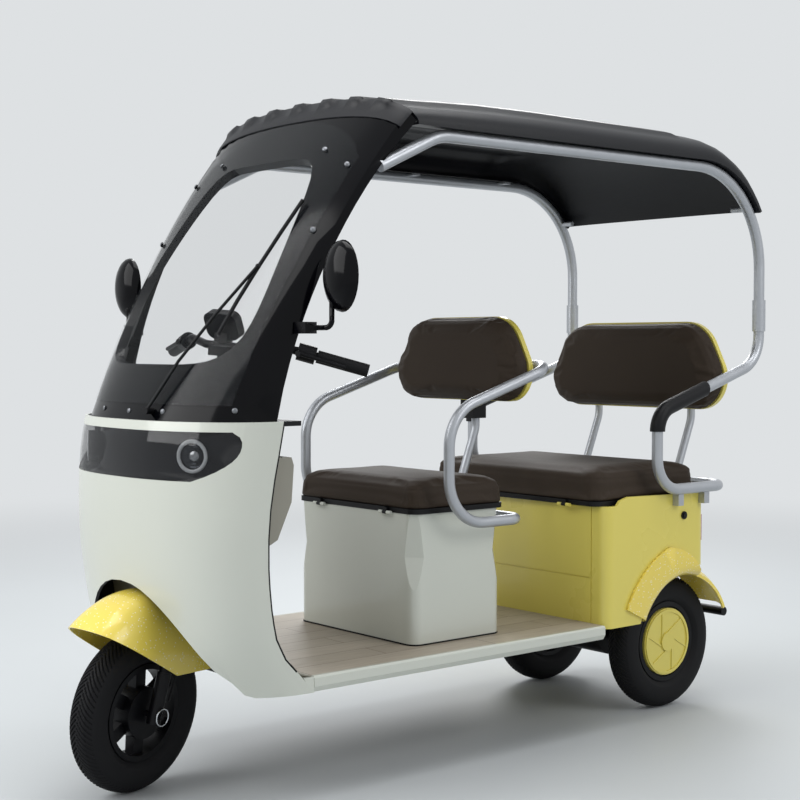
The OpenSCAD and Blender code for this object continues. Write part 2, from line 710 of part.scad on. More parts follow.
// The arm loop clears the backrest and the seat box
arm_back_gap = 49;
arm_box_gap = 64;
arm_x = max(driver_back_w / 2 + arm_back_gap, seat_box_half_w + arm_box_gap);
post_d = 25;
arm_foot_z = 640;
arm_up_s = 779;
arm_top_z = 940;
arm_rise = 0.32;
arm_loop_s = 1172;
arm_loop_z = arm_top_z + (arm_loop_s - arm_up_s) * arm_rise;
arm_cross_s = seat_box_s + seat_box_len + arm_d / 2 + seat_gap;
module driver_seat_frame() {
    color(steel) {
        bent_tube([
            [0, arm_cross_s, arm_foot_z], [arm_x, arm_cross_s, arm_foot_z], [arm_x, arm_up_s, arm_foot_z],
            [arm_x, arm_up_s, arm_top_z], [arm_x, arm_loop_s, arm_loop_z], [-arm_x, arm_loop_s, arm_loop_z],
            [-arm_x, arm_up_s, arm_top_z], [-arm_x, arm_up_s, arm_foot_z], [-arm_x, arm_cross_s, arm_foot_z],
            [0, arm_cross_s, arm_foot_z]
        ], [45, 125, 125, 70, 70, 125, 125, 45], arm_d);
        bent_tube([[0, arm_cross_s, arm_foot_z], [0, arm_cross_s + 52, arm_foot_z + 50], [0, arm_loop_s, arm_loop_z - 190],
            [0, arm_loop_s, arm_loop_z]], [40, 60], post_d);
    }
}

driver_back_h = 252;
driver_back_z = 958;
driver_pad_t = 62;
driver_pad_s = 1098;
back_shell_t = 16;
// Outline of the backrests: its top corners are rounder and stand closer than the low ones
back_lean = 30;
module back_form(w, h, r, t) {
    rotate([90, 0, 0]) translate([0, 0, -t]) linear_extrude(t) hull() for (side = [-1, 1]) {
        translate([side * (w / 2 - 0.9 * r), 0.9 * r]) circle(0.9 * r);
        translate([side * (w / 2 - back_lean - 1.1 * r), h - 1.1 * r]) circle(1.1 * r);
    }
}
module driver_backrest_pad() {
    color(brown) translate([0, driver_pad_s - driver_pad_t / 2, driver_back_z])
        back_form(driver_back_w, driver_back_h, 100, driver_pad_t);
}
module driver_backrest_shell() {
    color(yellow) difference() {
        translate([0, driver_pad_s + driver_pad_t / 2 + seat_gap, driver_back_z + 3])
            back_form(driver_back_w - 6, driver_back_h - 6, 97, back_shell_t);
    }
    color(yellow) for (x = [-120, 120])
        block([x - 15, driver_pad_s + driver_pad_t / 2 + seat_gap + back_shell_t, arm_loop_z - 12],
            [x + 15, arm_loop_s - arm_d / 2 - seat_gap, arm_loop_z + 12]);
}

// Bracket between the post and the driver's backrest
module driver_back_bracket() {
    color(black) difference() {
        block([-27, driver_pad_s + 38, driver_back_z - 52], [27, arm_loop_s + 18, driver_back_z + 3 - seat_gap]);
        rod([0, arm_loop_s, driver_back_z - 120], [0, arm_loop_s, driver_back_z + 60], post_d + 2 * seat_gap);
    }
}

// Rear body and seat

rear_half_w = 380;
rear_back_s = 1782;
rear_wall = 12;
well_r = wheel_r + 38;
well_x = 190;
rear_corner = 32;
bin_z = rail_high + rear_wall;
module well_form(r, x0) {
    side_extrude(x0, rear_half_w + 40) union() {
        translate([wheelbase, wheel_r]) circle(r, $fn = 72);
        translate([wheelbase - r, 0]) square([2 * r, wheel_r]);
    }
}

// Raised edge of the side panels beside the cushion
cheek_t = 9;
cheek_h = 24;
cheek_s = [rear_body_s + 40, rear_back_s - 6];
module cheek_outline() {
    polygon([[cheek_s[0], rear_body_z - 5], [cheek_s[1], rear_body_z - 5], [cheek_s[1], rear_body_z + cheek_h - 8],
        [cheek_s[0] + 55, rear_body_z + cheek_h], [cheek_s[0] + 20, rear_body_z + cheek_h - 9]]);
}

// Seams of the front panel
seam_x = 322;
seam_z = 445;
// Charging port on the left side panel: station, height
port = [1679, 609];
module charge_port() {
    color(black) translate([rear_half_w + seat_gap, port[0], port[1]]) rotate([0, 90, 0]) {
        cylinder(h = 4, d = 24);
        cylinder(h = 7, d = 14);
    }
}

module rear_body() {
    color(yellow) difference() {
        translate([0, (rear_body_s + rear_back_s) / 2, rail_high]) linear_extrude(rear_body_z - rail_high)
            round_rect(2 * rear_half_w, rear_back_s - rear_body_s, rear_corner);
        difference() {
            translate([0, (rear_body_s + rear_back_s) / 2, bin_z]) linear_extrude(400)
                round_rect(2 * (rear_half_w - rear_wall), rear_back_s - rear_body_s - 2 * rear_wall, rear_corner - rear_wall);
            both_sides() well_form(well_r + guard_t + rear_wall, well_x - rear_wall);
        }
        both_sides() well_form(well_r + guard_t + seat_gap, well_x);
        for (x = [-seam_x, seam_x]) block([x - 2, rear_body_s - 1, rail_high - 1], [x + 2, rear_body_s + 3, rear_body_z + 1]);
        block([-seam_x, rear_body_s - 1, seam_z - 2], [seam_x, rear_body_s + 3, seam_z + 2]);
    }
    color(yellow) fixed_knuckles(rear_hinge, rear_body_s, 240);
    color(yellow) both_sides() side_extrude(rear_half_w - cheek_t, rear_half_w) cheek_outline();
}

// Mudguard over each rear wheel and the flare round its arch
guard_t = 6;
lip_r = wheel_r + 9;
lip_x = 350;
guard_crown_x = 300;
flare_x = rear_half_w + 9;
flare_c = [1594, 308];
flare_r = 210;
guard_back = 25;
guard_front = 154;
function guard_section() = [
    [well_r, well_x + 2], [well_r, guard_crown_x], [well_r - 10, lip_x - 24], [lip_r + 8, lip_x - guard_t],
    [lip_r, lip_x - guard_t], [lip_r, lip_x], [lip_r + 10, lip_x], [well_r - 6, lip_x - 18],
    [well_r + guard_t, guard_crown_x + 4], [well_r + guard_t, well_x + 2]
];
function flare_section() = [
    [lip_r, lip_x - guard_t], [lip_r, lip_x], [lip_r + 6, lip_x + 16], [lip_r + 20, flare_x - 6],
    [lip_r + 40, flare_x], [flare_r + 120, flare_x], [flare_r + 120, rear_half_w + seat_gap],
    [well_r + guard_t, rear_half_w + seat_gap], [well_r, lip_x - 4], [lip_r + 9, lip_x - guard_t]
];
module about_rear_axle() {
    translate([0, wheelbase, wheel_r]) rotate([90, 0, 90]) children();
}
module rear_fenders() {
    color(yellow) both_sides() {
        about_rear_axle() rotate([0, 0, guard_back]) rotate_extrude(angle = guard_front - guard_back)
            polygon(guard_section());
        intersection() {
            about_rear_axle() rotate([0, 0, guard_back]) rotate_extrude(angle = guard_front - guard_back)
                polygon(flare_section());
            side_extrude(0, rear_half_w + 50) union() {
                translate(flare_c) circle(flare_r);
                translate([flare_c[0] - flare_r, 0]) square([2 * flare_r, flare_c[1]]);
            }
        }
    }
}

rear_cushion_s = [1305, 1780];
rear_cushion_half_w = rear_half_w - cheek_t - 6;
rear_hinge = [rear_cushion_s[0], rear_body_z + seat_gap];
module rear_seat_board() {
    seat_board(2 * rear_cushion_half_w - 12, rear_cushion_s[0] + 7, rear_cushion_s[1] - 6, rear_body_z, rear_hinge, 240);
}
module rear_seat_cushion() {
    color(brown) cushion(2 * rear_cushion_half_w, rear_cushion_s[0], rear_cushion_s[1],
        rear_body_z + board_t + 2 * seat_gap, rear_cushion_h - board_t, 48, 26);
}

rear_back_w = 720;
rear_back_h = 285;
rear_back_z = 917;
rear_pad_s = 1868;
rear_pad_t = 66;
rear_post_x = 200;
module rear_backrest_pad() {
    color(brown) translate([0, rear_pad_s - rear_pad_t / 2, rear_back_z])
        back_form(rear_back_w, rear_back_h, 115, rear_pad_t);
}
module rear_backrest_shell() {
    color(yellow) translate([0, rear_pad_s + rear_pad_t / 2 + seat_gap, rear_back_z + 3])
        back_form(rear_back_w - 6, rear_back_h - 6, 112, back_shell_t);
}
rear_post_d = 25;
rear_post_back = rear_pad_s + rear_pad_t / 2 + 2 * seat_gap + back_shell_t + rear_post_d / 2;
module rear_backrest_posts() {
    color(steel) for (x = [-rear_post_x, rear_post_x]) difference() {
        bent_tube([[x, arm_back_s, arm_low_z], [x, rear_post_back, rear_back_z - 30],
            [x, rear_post_back, rear_back_z + 200]], [90], rear_post_d);
        rod([-canopy_x, arm_back_s, arm_low_z], [canopy_x, arm_back_s, arm_low_z], tube_d + 2 * seat_gap);
    }
}

module tail_lamps() {
    color(red) both_sides() block([rear_half_w - 90, rear_back_s + seat_gap, 520],
        [rear_half_w - 34, rear_back_s + 24, 600]);
}

bumper_z = 273;
bumper_d = 28;
bumper_half_w = 305;
module rear_bumper() {
    s = rail_back + bumper_d / 2 + seat_gap;
    color(black) rod([-bumper_half_w, s, bumper_z], [bumper_half_w, s, bumper_z], bumper_d);
}

// Rear axle and springs

axle_d = 50;
drum_x = [176, 206];
stub_d = 20;
motor_d = 150;
module rear_axle() {
    color(black) translate([0, wheelbase, wheel_r]) rotate([0, 90, 0]) {
        translate([0, 0, -drum_x[1]]) cylinder(h = 2 * drum_x[1], d = axle_d);
        translate([0, 0, -100]) cylinder(h = 160, d = motor_d);
        for (side = [-1, 1]) translate([0, 0, side * (drum_x[0] + drum_x[1]) / 2])
            cylinder(h = drum_x[1] - drum_x[0], d = 160, center = true);
        translate([0, 0, -rear_track / 2 - 34]) cylinder(h = rear_track + 68, d = stub_d);
    }
}

leaf_w = 34;
leaf_t = 6;
spring_half = 225;
module leaf_springs() {
    z = wheel_r + axle_d / 2;
    color(black) both_sides() translate([rail_x - leaf_w / 2, 0, 0]) {
        for (i = [0 : 2]) block([0, wheelbase - spring_half + i * 80, z + i * leaf_t],
            [leaf_w, wheelbase + spring_half - i * 80, z + (i + 1) * leaf_t]);
        for (side = [-1, 1]) block([0, wheelbase + side * (spring_half - 10) - 10, z], [leaf_w, wheelbase + side * (spring_half - 10) + 10, rail_low]);
    }
}

// Small pieces of the body

mirror_c = [500, 268, 1287];
mirror_h = 172;
mirror_w = 124;
mirror_t = 34;
mirror_arm_z = 1165;
mirror_seat = [screen_point(1, 0.31, -seat_gap)[0], 240, mirror_arm_z];
// Domed housing: rings of an oval that shrink towards its front
mirror_steps = 32;
function mirror_ring(a, w, h) = [for (i = [0 : mirror_steps - 1])
    [w / 2 * cos(a) * cos(360 * i / mirror_steps), h / 2 * cos(a) * sin(360 * i / mirror_steps)]];
mirror_turns = [0, 14, 28, 42, 56, 70];
module mirror_shell() {
    n = mirror_steps;
    m = len(mirror_turns);
    points = [for (a = mirror_turns) each [for (q = mirror_ring(a, mirror_w, mirror_h)) [q[0], -mirror_t * sin(a) / sin(70), q[1]]]];
    polyhedron(points, concat([[for (i = [0 : n - 1]) i], [for (i = [n - 1 : -1 : 0]) (m - 1) * n + i]],
        [for (k = [0 : m - 2], i = [0 : n - 1]) [k * n + i, (k + 1) * n + i, (k + 1) * n + (i + 1) % n, k * n + (i + 1) % n]]));
}
module mirrors() {
    color(black) both_sides() {
        translate(mirror_c + [0, mirror_t / 2, 0]) mirror_shell();
        bent_tube([mirror_seat + [20, 0, 0], [mirror_c[0] - 20, mirror_c[1], mirror_arm_z], mirror_c - [20, 0, 60]], [18], 13);
        translate(mirror_seat) block([0, -14, -14], [46, 20, 14]);
    }
}
module mirror_glass() {
    color(steel) both_sides() translate(mirror_c + [0, mirror_t / 2 + seat_gap + 1, 0])
        rotate([90, 0, 0]) linear_extrude(2, center = true) polygon(mirror_ring(0, mirror_w - 14, mirror_h - 14));
}

// Places of the wiper on the screen: share of the half angle across, share of the height, distance out
wiper_arm = [[0.138, 0.03, 20], [0.206, 0.18, 26], [0.290, 0.32, 26], [0.386, 0.46, 20]];
wiper_blade = [[0.358, 0.259, 13], [0.369, 0.36, 13], [0.386, 0.46, 13], [0.405, 0.56, 13], [0.425, 0.659, 13]];
function wiper_spot(p) = screen_point(p[0], p[1], -p[2]);
module wiper_chain(places, d) {
    for (i = [0 : len(places) - 2]) rod(wiper_spot(places[i]), wiper_spot(places[i + 1]), d);
    for (i = [1 : len(places) - 2]) translate(wiper_spot(places[i])) sphere(d = d + 0.5);
}
module wiper() {
    color(black) {
        rod(screen_point(wiper_arm[0][0], wiper_arm[0][1], -2.5), screen_point(wiper_arm[0][0], wiper_arm[0][1], -26), 18);
        wiper_chain(wiper_arm, 8);
        wiper_chain(wiper_blade, 10);
        rod(wiper_spot(wiper_arm[3]), wiper_spot(wiper_blade[2]), 12);
    }
}

module brake_pedal() {
    color(black) {
        block([-164, 316, floor_z], [-136, 344, floor_z + 16]);
        rod([-150, 330, floor_z + 8], [-150, 300, floor_z + 95], 14);
        block([-185, 278, floor_z + 88], [-115, 304, floor_z + 104]);
    }
}

// Fork, handlebar and front wheel

leg_x = 66;
fork_leg_d = 30;
slider_d = 36;
crown_low = 226;
crown_high = 254;
bar_h = (bar_z - wheel_r + fork_offset * sin(rake)) / cos(rake);
axle_front_d = 15;
module front_fork() {
    color(black) steered() on_fork() {
        for (x = [-leg_x, leg_x]) translate([x, 0, 0]) {
            translate([0, 0, -22]) cylinder(h = 130, d = slider_d);
            cylinder(h = crown_high, d = fork_leg_d);
        }
        translate([0, 0, crown_low]) linear_extrude(crown_high - crown_low) hull() {
            for (x = [-leg_x, leg_x]) translate([x, 0]) circle(d = fork_leg_d + 6);
            translate([0, fork_offset]) circle(d = 60);
        }
        translate([0, fork_offset, crown_low]) cylinder(h = bar_h - crown_low + 12, d = stem_d);
        rotate([0, 90, 0]) translate([0, 0, -leg_x - 24]) cylinder(h = 2 * leg_x + 48, d = axle_front_d);
    }
}

bar_d = 22;
grip_d = 34;
grip_len = 130;
function bar_path() = [
    [bar_half_w, bar_sweep, -10], [150, 45, 40], [60, 0, 30], [-60, 0, 30], [-150, 45, 40],
    [-bar_half_w, bar_sweep, -10]
];
module on_bar() {
    steered() translate(column_spot(bar_h)) children();
}
module handlebar() {
    color(black) difference() {
        on_bar() {
            bent_tube(bar_path(), [60, 40, 40, 60], bar_d);
            translate([-32, -26, 4]) cube([64, 52, 26]);
        }
        steered() on_column() translate([0, 0, bar_h - 40]) cylinder(h = 52 + seat_gap, d = stem_d + 2 * seat_gap);
    }
}
grip_dir = unit(bar_path()[0] - bar_path()[1]);
module handlebar_grips() {
    color(rubber) on_bar() both_sides() difference() {
        rod(bar_path()[0] - grip_dir * grip_len, bar_path()[0] + grip_dir * 8, grip_d);
        rod(bar_path()[0] - grip_dir * (grip_len + 5), bar_path()[0], bar_d + 2 * seat_gap);
    }
}

module handlebar_controls() {
    color(black) on_bar() {
        both_sides() difference() {
            union() {
                rod(bar_path()[0] - grip_dir * (grip_len + 52), bar_path()[0] - grip_dir * (grip_len + 4), 46);
                rod(bar_path()[0] - grip_dir * (grip_len + 30) + [0, -30, 0], bar_path()[0] - grip_dir * 30 + [0, -38, 0], 11);
                rod(bar_path()[0] - grip_dir * (grip_len + 30), bar_path()[0] - grip_dir * (grip_len + 30) + [0, -36, 0], 16);
            }
            rod(bar_path()[0] - grip_dir * (grip_len + 90), bar_path()[0], bar_d + 2 * seat_gap);
        }
        translate([0, -4, 30 + bar_d / 2 + seat_gap]) {
            block([-22, -12, 0], [22, 12, 22]);
            translate([0, 0, 44]) rotate([25, 0, 0]) rotate([90, 0, 0]) linear_extrude(26, center = true) round_rect(108, 74, 22);
        }
    }
}

fender_half_w = 108;
fender_r = 308;
fender_low_r = 100;
fender_t = 4;
function fender_arc(w, r) = [for (a = [-90 : 10 : 90])
    let (c = pow(abs(cos(a)), 2 / 3), s = sign(sin(a)) * pow(abs(sin(a)), 2 / 3))
    [fender_low_r + (r - fender_low_r) * c, w * s]];
module front_fender() {
    color(yellow) steered() difference() {
        intersection() {
            translate([0, 0, wheel_r]) rotate([0, 90, 0]) rotate([0, 0, 60]) rotate_extrude(angle = 240)
                polygon(concat(fender_arc(fender_half_w, fender_r),
                    [for (i = [18 : -1 : 0]) fender_arc(fender_half_w - fender_t, fender_r - fender_t)[i]]));
            side_extrude(-200, 200) translate([0, wheel_r])
                polygon([[-330, 330], [-195, 240], [30, 104], [168, 97], [168, 400], [-330, 400]]);
        }
        on_column() translate([0, 0, 200]) cylinder(h = 200, d = stem_d + 2 * seat_gap);
    }
}

cable_d = 6;
module front_brake_cable() {
    color(black) steered() on_fork() bent_tube([
        [leg_x + 8, 30, 40], [leg_x + 10, 34, 110], [leg_x - 10, 36, 180], [leg_x - 18, 30, crown_low - seat_gap]
    ], [40, 30], cable_d);
}

rim_w = 62;
// Round tyre section: radius and distance from the middle plane
function tyre_arc(r, w) = [for (a = [-110 : 10 : 110])
    let (c = cos(a), s = sin(a))
    [wheel_r - r + sign(c) * r * pow(abs(c), 0.8), sign(s) * w / 2 * pow(abs(s), 0.7)]];
module tyre() {
    seat_r = rim_d / 2 - 12;
    section_r = (wheel_r - seat_r) / 2 + 8;
    bead = rim_w / 2 - 4;
    color(rubber) rotate([0, 90, 0]) rotate_extrude()
        polygon(concat(tyre_arc(section_r, tyre_w), [[seat_r, bead], [seat_r, -bead]]));
}

hub_bore = stub_d + 0.2;
module rim_ring() {
    seat_r = rim_d / 2 - 12 - seat_gap;
    rotate_extrude() translate([seat_r - 14, -rim_w / 2]) square([14, rim_w]);
}

spokes = 6;
module front_rim() {
    color(black) steered() translate([0, 0, wheel_r]) rotate([0, 90, 0]) difference() {
        union() {
            rim_ring();
            cylinder(h = 76, d = 130, center = true);
            for (i = [0 : spokes - 1]) rotate([0, 0, 360 * i / spokes]) translate([55, -17, -14])
                cube([rim_d / 2 - 12 - 10 - 55, 34, 28]);
        }
        cylinder(h = 100, d = axle_front_d + 0.2, center = true);
    }
}
module front_tyre() {
    steered() translate([0, 0, wheel_r]) tyre();
}

cap_d = 207;
cap_t = 12;
cap_ribs = 6;
module rear_rim() {
    color(black) rotate([0, 90, 0]) difference() {
        union() {
            rim_ring();
            translate([0, 0, -rim_w / 2]) cylinder(h = rim_w / 2 + 22, d = 90);
            translate([0, 0, 12]) cylinder(h = 10, d = rim_d - 30);
        }
        cylinder(h = 200, d = hub_bore, center = true);
    }
}
module rear_cap() {
    color(yellow) rotate([0, 90, 0]) translate([0, 0, 22 + seat_gap]) difference() {
        union() {
            cylinder(h = cap_t, d = cap_d);
            cylinder(h = cap_t + 6, d = 58);
            rotate_extrude() translate([cap_d / 2 - 12, 0]) square([8, cap_t + 4]);
            for (i = [0 : cap_ribs - 1]) rotate([0, 0, 360 * i / cap_ribs]) translate([14, 20, 0])
                cube([cap_d / 2 - 30, 5, cap_t + 3]);
        }
        translate([0, 0, -1]) cylinder(h = 15, d = stub_d + 3);
    }
}
module at_rear_wheel(side) {
    translate([side * rear_track / 2, wheelbase, wheel_r]) rotate([0, 0, side > 0 ? 0 : 180]) children();
}

placed() chassis_frame();
placed() battery_pack();
placed() floor_panel();
placed() side_sills();
placed() front_cowl();
placed() leg_shield();
placed() dashboard();
placed() headlight_housing();
placed() headlight_lens();
placed() windscreen_surround();
placed() windscreen();
placed() wiper();
placed() mirrors();
placed() mirror_glass();
placed() brake_pedal();
placed() roof();
placed() canopy_frame();
placed() rear_frame();
placed() armrest_covers();
placed() driver_seat_box();
placed() driver_seat_frame();
placed() driver_backrest_shell();
placed() driver_backrest_pad();
placed() driver_back_bracket();
placed() roof_visor();
placed() charge_port();
placed() driver_seat_board();
placed() rear_seat_board();
placed() rear_body();
placed() rear_fenders();
placed() rear_backrest_posts();
placed() rear_backrest_shell();
placed() rear_backrest_pad();
placed() tail_lamps();
placed() rear_bumper();
placed() rear_axle();
placed() leaf_springs();
placed() front_fork();
placed() handlebar();
placed() handlebar_grips();
placed() handlebar_controls();
placed() front_fender();
placed() front_brake_cable();
placed() front_tyre();
placed() front_rim();
placed() at_rear_wheel(1) tyre();  // rear_tyre_left
placed() at_rear_wheel(1) rear_rim();  // rear_rim_left
placed() at_rear_wheel(1) rear_cap();  // rear_cap_left
placed() at_rear_wheel(-1) tyre();  // rear_tyre_right
placed() at_rear_wheel(-1) rear_rim();  // rear_rim_right
placed() at_rear_wheel(-1) rear_cap();  // rear_cap_right
placed() driver_seat_cushion();
placed() rear_seat_cushion();
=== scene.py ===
"""Looks of the electric passenger tricycle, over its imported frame."""
import json
import math

import bmesh
import bpy
import numpy as np
from mathutils import Matrix, Vector
from mathutils.bvhtree import BVHTree


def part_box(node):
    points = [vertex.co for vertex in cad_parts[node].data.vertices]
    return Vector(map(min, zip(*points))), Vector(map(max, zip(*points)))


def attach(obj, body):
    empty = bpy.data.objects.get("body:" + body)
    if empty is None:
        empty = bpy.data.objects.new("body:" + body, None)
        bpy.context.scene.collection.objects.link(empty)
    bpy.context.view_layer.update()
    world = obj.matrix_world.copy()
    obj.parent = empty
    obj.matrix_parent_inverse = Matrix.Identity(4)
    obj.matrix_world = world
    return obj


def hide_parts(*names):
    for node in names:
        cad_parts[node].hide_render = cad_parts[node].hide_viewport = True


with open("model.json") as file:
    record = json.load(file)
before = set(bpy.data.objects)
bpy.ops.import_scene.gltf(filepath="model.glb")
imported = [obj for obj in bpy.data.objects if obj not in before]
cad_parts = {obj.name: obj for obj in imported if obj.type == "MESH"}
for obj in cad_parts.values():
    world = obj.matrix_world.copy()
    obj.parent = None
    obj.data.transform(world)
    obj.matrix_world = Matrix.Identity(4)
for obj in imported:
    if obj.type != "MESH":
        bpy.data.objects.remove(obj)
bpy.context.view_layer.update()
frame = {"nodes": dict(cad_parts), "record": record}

nodes = frame["nodes"]
scene = bpy.context.scene
scene.view_settings.view_transform = "Standard"
FRONT_AXLE_Y = -0.91166


def at(x, s, z):
    """A point given in mm across, behind the front axle and up, as metres in the frame."""
    return Vector((x / 1000, s / 1000 + FRONT_AXLE_Y, z / 1000))


# Camera

CAMERA_PLACE = (3.3471, -2.8179, 1.1221)
CAMERA_TILT = 87.9461
CAMERA_HEADING = 50.2528
LENS_MM = 68.146
SENSOR_MM = 36

camera_data = bpy.data.cameras.new("camera")
camera = bpy.data.objects.new("camera", camera_data)
scene.collection.objects.link(camera)
camera.location = CAMERA_PLACE
camera.rotation_euler = (math.radians(CAMERA_TILT), 0, math.radians(CAMERA_HEADING))
camera_data.lens = LENS_MM
camera_data.sensor_width = SENSOR_MM
scene.camera = camera


# Materials

# Most of a noise texture lies between these values
NOISE_LOW = 0.3
NOISE_HIGH = 0.7
# Sockets of a Mix node that blends two colours
COLOUR_A = 6
COLOUR_B = 7
COLOUR_OUT = 2
COAT_ROUGH = 0.04
LEAST_ROUGH = 0.02


def linear(rgb):
    """A colour of 0 to 255 as the shader takes it."""
    parts = [c / 255 for c in rgb]
    return tuple(c / 12.92 if c <= 0.04045 else ((c + 0.055) / 1.055) ** 2.4 for c in parts) + (1.0,)


class Paint:
    """A Principled material with helpers for its procedural detail."""

    def __init__(self, name, rgb, rough, metal=0.0, coat=0.0, alpha=1.0, shine=0.5):
        self.rgb = rgb
        self.rough = rough
        self.material = bpy.data.materials.new(name)
        self.material.use_nodes = True
        self.tree = self.material.node_tree
        self.shader = self.tree.nodes["Principled BSDF"]
        self.set("Base Color", linear(rgb))
        self.set("Roughness", rough)
        self.set("Metallic", metal)
        self.set("Specular IOR Level", shine)
        if coat:
            self.set("Coat Weight", coat)
            self.set("Coat Roughness", COAT_ROUGH)
        if alpha < 1:
            self.set("Alpha", alpha)
        self.place = self.add("ShaderNodeTexCoord").outputs["Object"]

    def set(self, socket, value):
        self.shader.inputs[socket].default_value = value

    def add(self, kind, **values):
        node = self.tree.nodes.new(kind)
        for key, value in values.items():
            setattr(node, key, value)
        return node

    def link(self, a, b):
        self.tree.links.new(a, b)

    def to(self, socket, output):
        self.link(output, self.shader.inputs[socket])

    def stretched(self, scale):
        mapping = self.add("ShaderNodeMapping")
        mapping.inputs["Scale"].default_value = scale
        self.link(self.place, mapping.inputs["Vector"])
        return mapping.outputs["Vector"]

    def noise(self, scale, detail=3.0, vector=None):
        node = self.add("ShaderNodeTexNoise")
        node.inputs["Scale"].default_value = scale
        node.inputs["Detail"].default_value = detail
        self.link(vector or self.place, node.inputs["Vector"])
        return node.outputs["Fac"]

    def ramp(self, value, low, high):
        """A noise spread from low to high."""
        node = self.add("ShaderNodeMapRange")
        node.inputs["To Min"].default_value = low
        node.inputs["To Max"].default_value = high
        node.inputs["From Min"].default_value = NOISE_LOW
        node.inputs["From Max"].default_value = NOISE_HIGH
        self.link(value, node.inputs["Value"])
        return node.outputs["Result"]

    def blend(self, factor, a, b):
        """A colour between a and b, each a socket or a colour of 0 to 255."""
        node = self.add("ShaderNodeMix", data_type="RGBA")
        self.link(factor, node.inputs["Factor"])
        for key, value in ((COLOUR_A, a), (COLOUR_B, b)):
            if isinstance(value, tuple):
                node.inputs[key].default_value = linear(value)
            else:
                self.link(value, node.inputs[key])
        return node.outputs[COLOUR_OUT]

    def shades(self, spread, scale):
        """The paint's own colour, a little darker and paler over the surface."""
        dark = tuple(c * (1 - spread) for c in self.rgb)
        pale = tuple(min(255, c * (1 + spread)) for c in self.rgb)
        return self.blend(self.noise(scale), dark, pale)

    def drift(self, spread=0.03, scale=4.0):
        self.to("Base Color", self.shades(spread, scale))
        return self

    def wear(self, spread=0.08, scale=9.0):
        least = max(LEAST_ROUGH, self.rough - spread)
        self.to("Roughness", self.ramp(self.noise(scale), least, self.rough + spread))
        return self

    def grain(self, height, strength=0.3, distance=0.001):
        node = self.add("ShaderNodeBump")
        node.inputs["Strength"].default_value = strength
        node.inputs["Distance"].default_value = distance
        self.link(height, node.inputs["Height"])
        self.to("Normal", node.outputs["Normal"])
        return self

    def cells(self, scale, output="Distance"):
        node = self.add("ShaderNodeTexVoronoi")
        node.inputs["Scale"].default_value = scale
        self.link(self.place, node.inputs["Vector"])
        return node.outputs[output]

    def maths(self, operation, a, b):
        node = self.add("ShaderNodeMath", operation=operation)
        for key, value in ((0, a), (1, b)):
            if isinstance(value, (int, float)):
                node.inputs[key].default_value = value
            else:
                self.link(value, node.inputs[key])
        return node.outputs[0]


# Pale dots in the yellow of the mudguards: dots in a metre, their size in a cell, and the share left without
SPECKLES = 130
SPECKLE_SIZE = 0.2
SPECKLE_GAPS = 0.36
SPECKLE = (250, 244, 214)


def speckled_paint():
    paint = Paint("yellow_speckled", (238, 214, 92), 0.26, coat=0.35).wear(0.012, 5)
    dot = paint.maths("LESS_THAN", paint.cells(SPECKLES), SPECKLE_SIZE)
    shown = paint.maths("GREATER_THAN", paint.cells(SPECKLES, "Color"), SPECKLE_GAPS)
    speckle = paint.maths("MULTIPLY", dot, shown)
    paint.to("Base Color", paint.blend(speckle, paint.shades(0.008, 3), SPECKLE))
    return paint


# Floor covering that looks like long boards laid along the vehicle
BOARD_LENGTH = 0.62
BOARD_WIDTH = 0.092
BOARD_JOINT = 0.0016
BOARD_PALE = (178, 168, 152)
BOARD_DARK = (158, 147, 131)
BOARD_EDGE = (116, 104, 90)
STREAK = (120, 108, 94)
STREAK_SHARE = 0.35


def plank_paint():
    paint = Paint("plank_vinyl", (168, 158, 142), 0.5)
    apart = paint.add("ShaderNodeSeparateXYZ")
    paint.link(paint.place, apart.inputs["Vector"])
    lengthwise = paint.add("ShaderNodeCombineXYZ")
    paint.link(apart.outputs["Y"], lengthwise.inputs["X"])
    paint.link(apart.outputs["X"], lengthwise.inputs["Y"])
    boards = paint.add("ShaderNodeTexBrick")
    paint.link(lengthwise.outputs["Vector"], boards.inputs["Vector"])
    boards.inputs["Color1"].default_value = linear(BOARD_PALE)
    boards.inputs["Color2"].default_value = linear(BOARD_DARK)
    boards.inputs["Mortar"].default_value = linear(BOARD_EDGE)
    boards.inputs["Scale"].default_value = 1.0
    boards.inputs["Mortar Size"].default_value = BOARD_JOINT
    boards.inputs["Brick Width"].default_value = BOARD_LENGTH
    boards.inputs["Row Height"].default_value = BOARD_WIDTH
    streaks = paint.noise(16, 6, paint.stretched((7, 0.7, 1)))
    streaked = paint.ramp(streaks, 0.0, STREAK_SHARE)
    paint.to("Base Color", paint.blend(streaked, boards.outputs["Color"], STREAK))
    return paint.grain(streaks, 0.1, 0.0006)


cream = Paint("cream_gloss", (206, 209, 199), 0.24, coat=0.35).drift(0.008, 3).wear(0.012, 5)
yellow = Paint("yellow_gloss", (223, 208, 98), 0.28, coat=0.3).drift(0.008, 3).wear(0.012, 5)
speckled = speckled_paint()

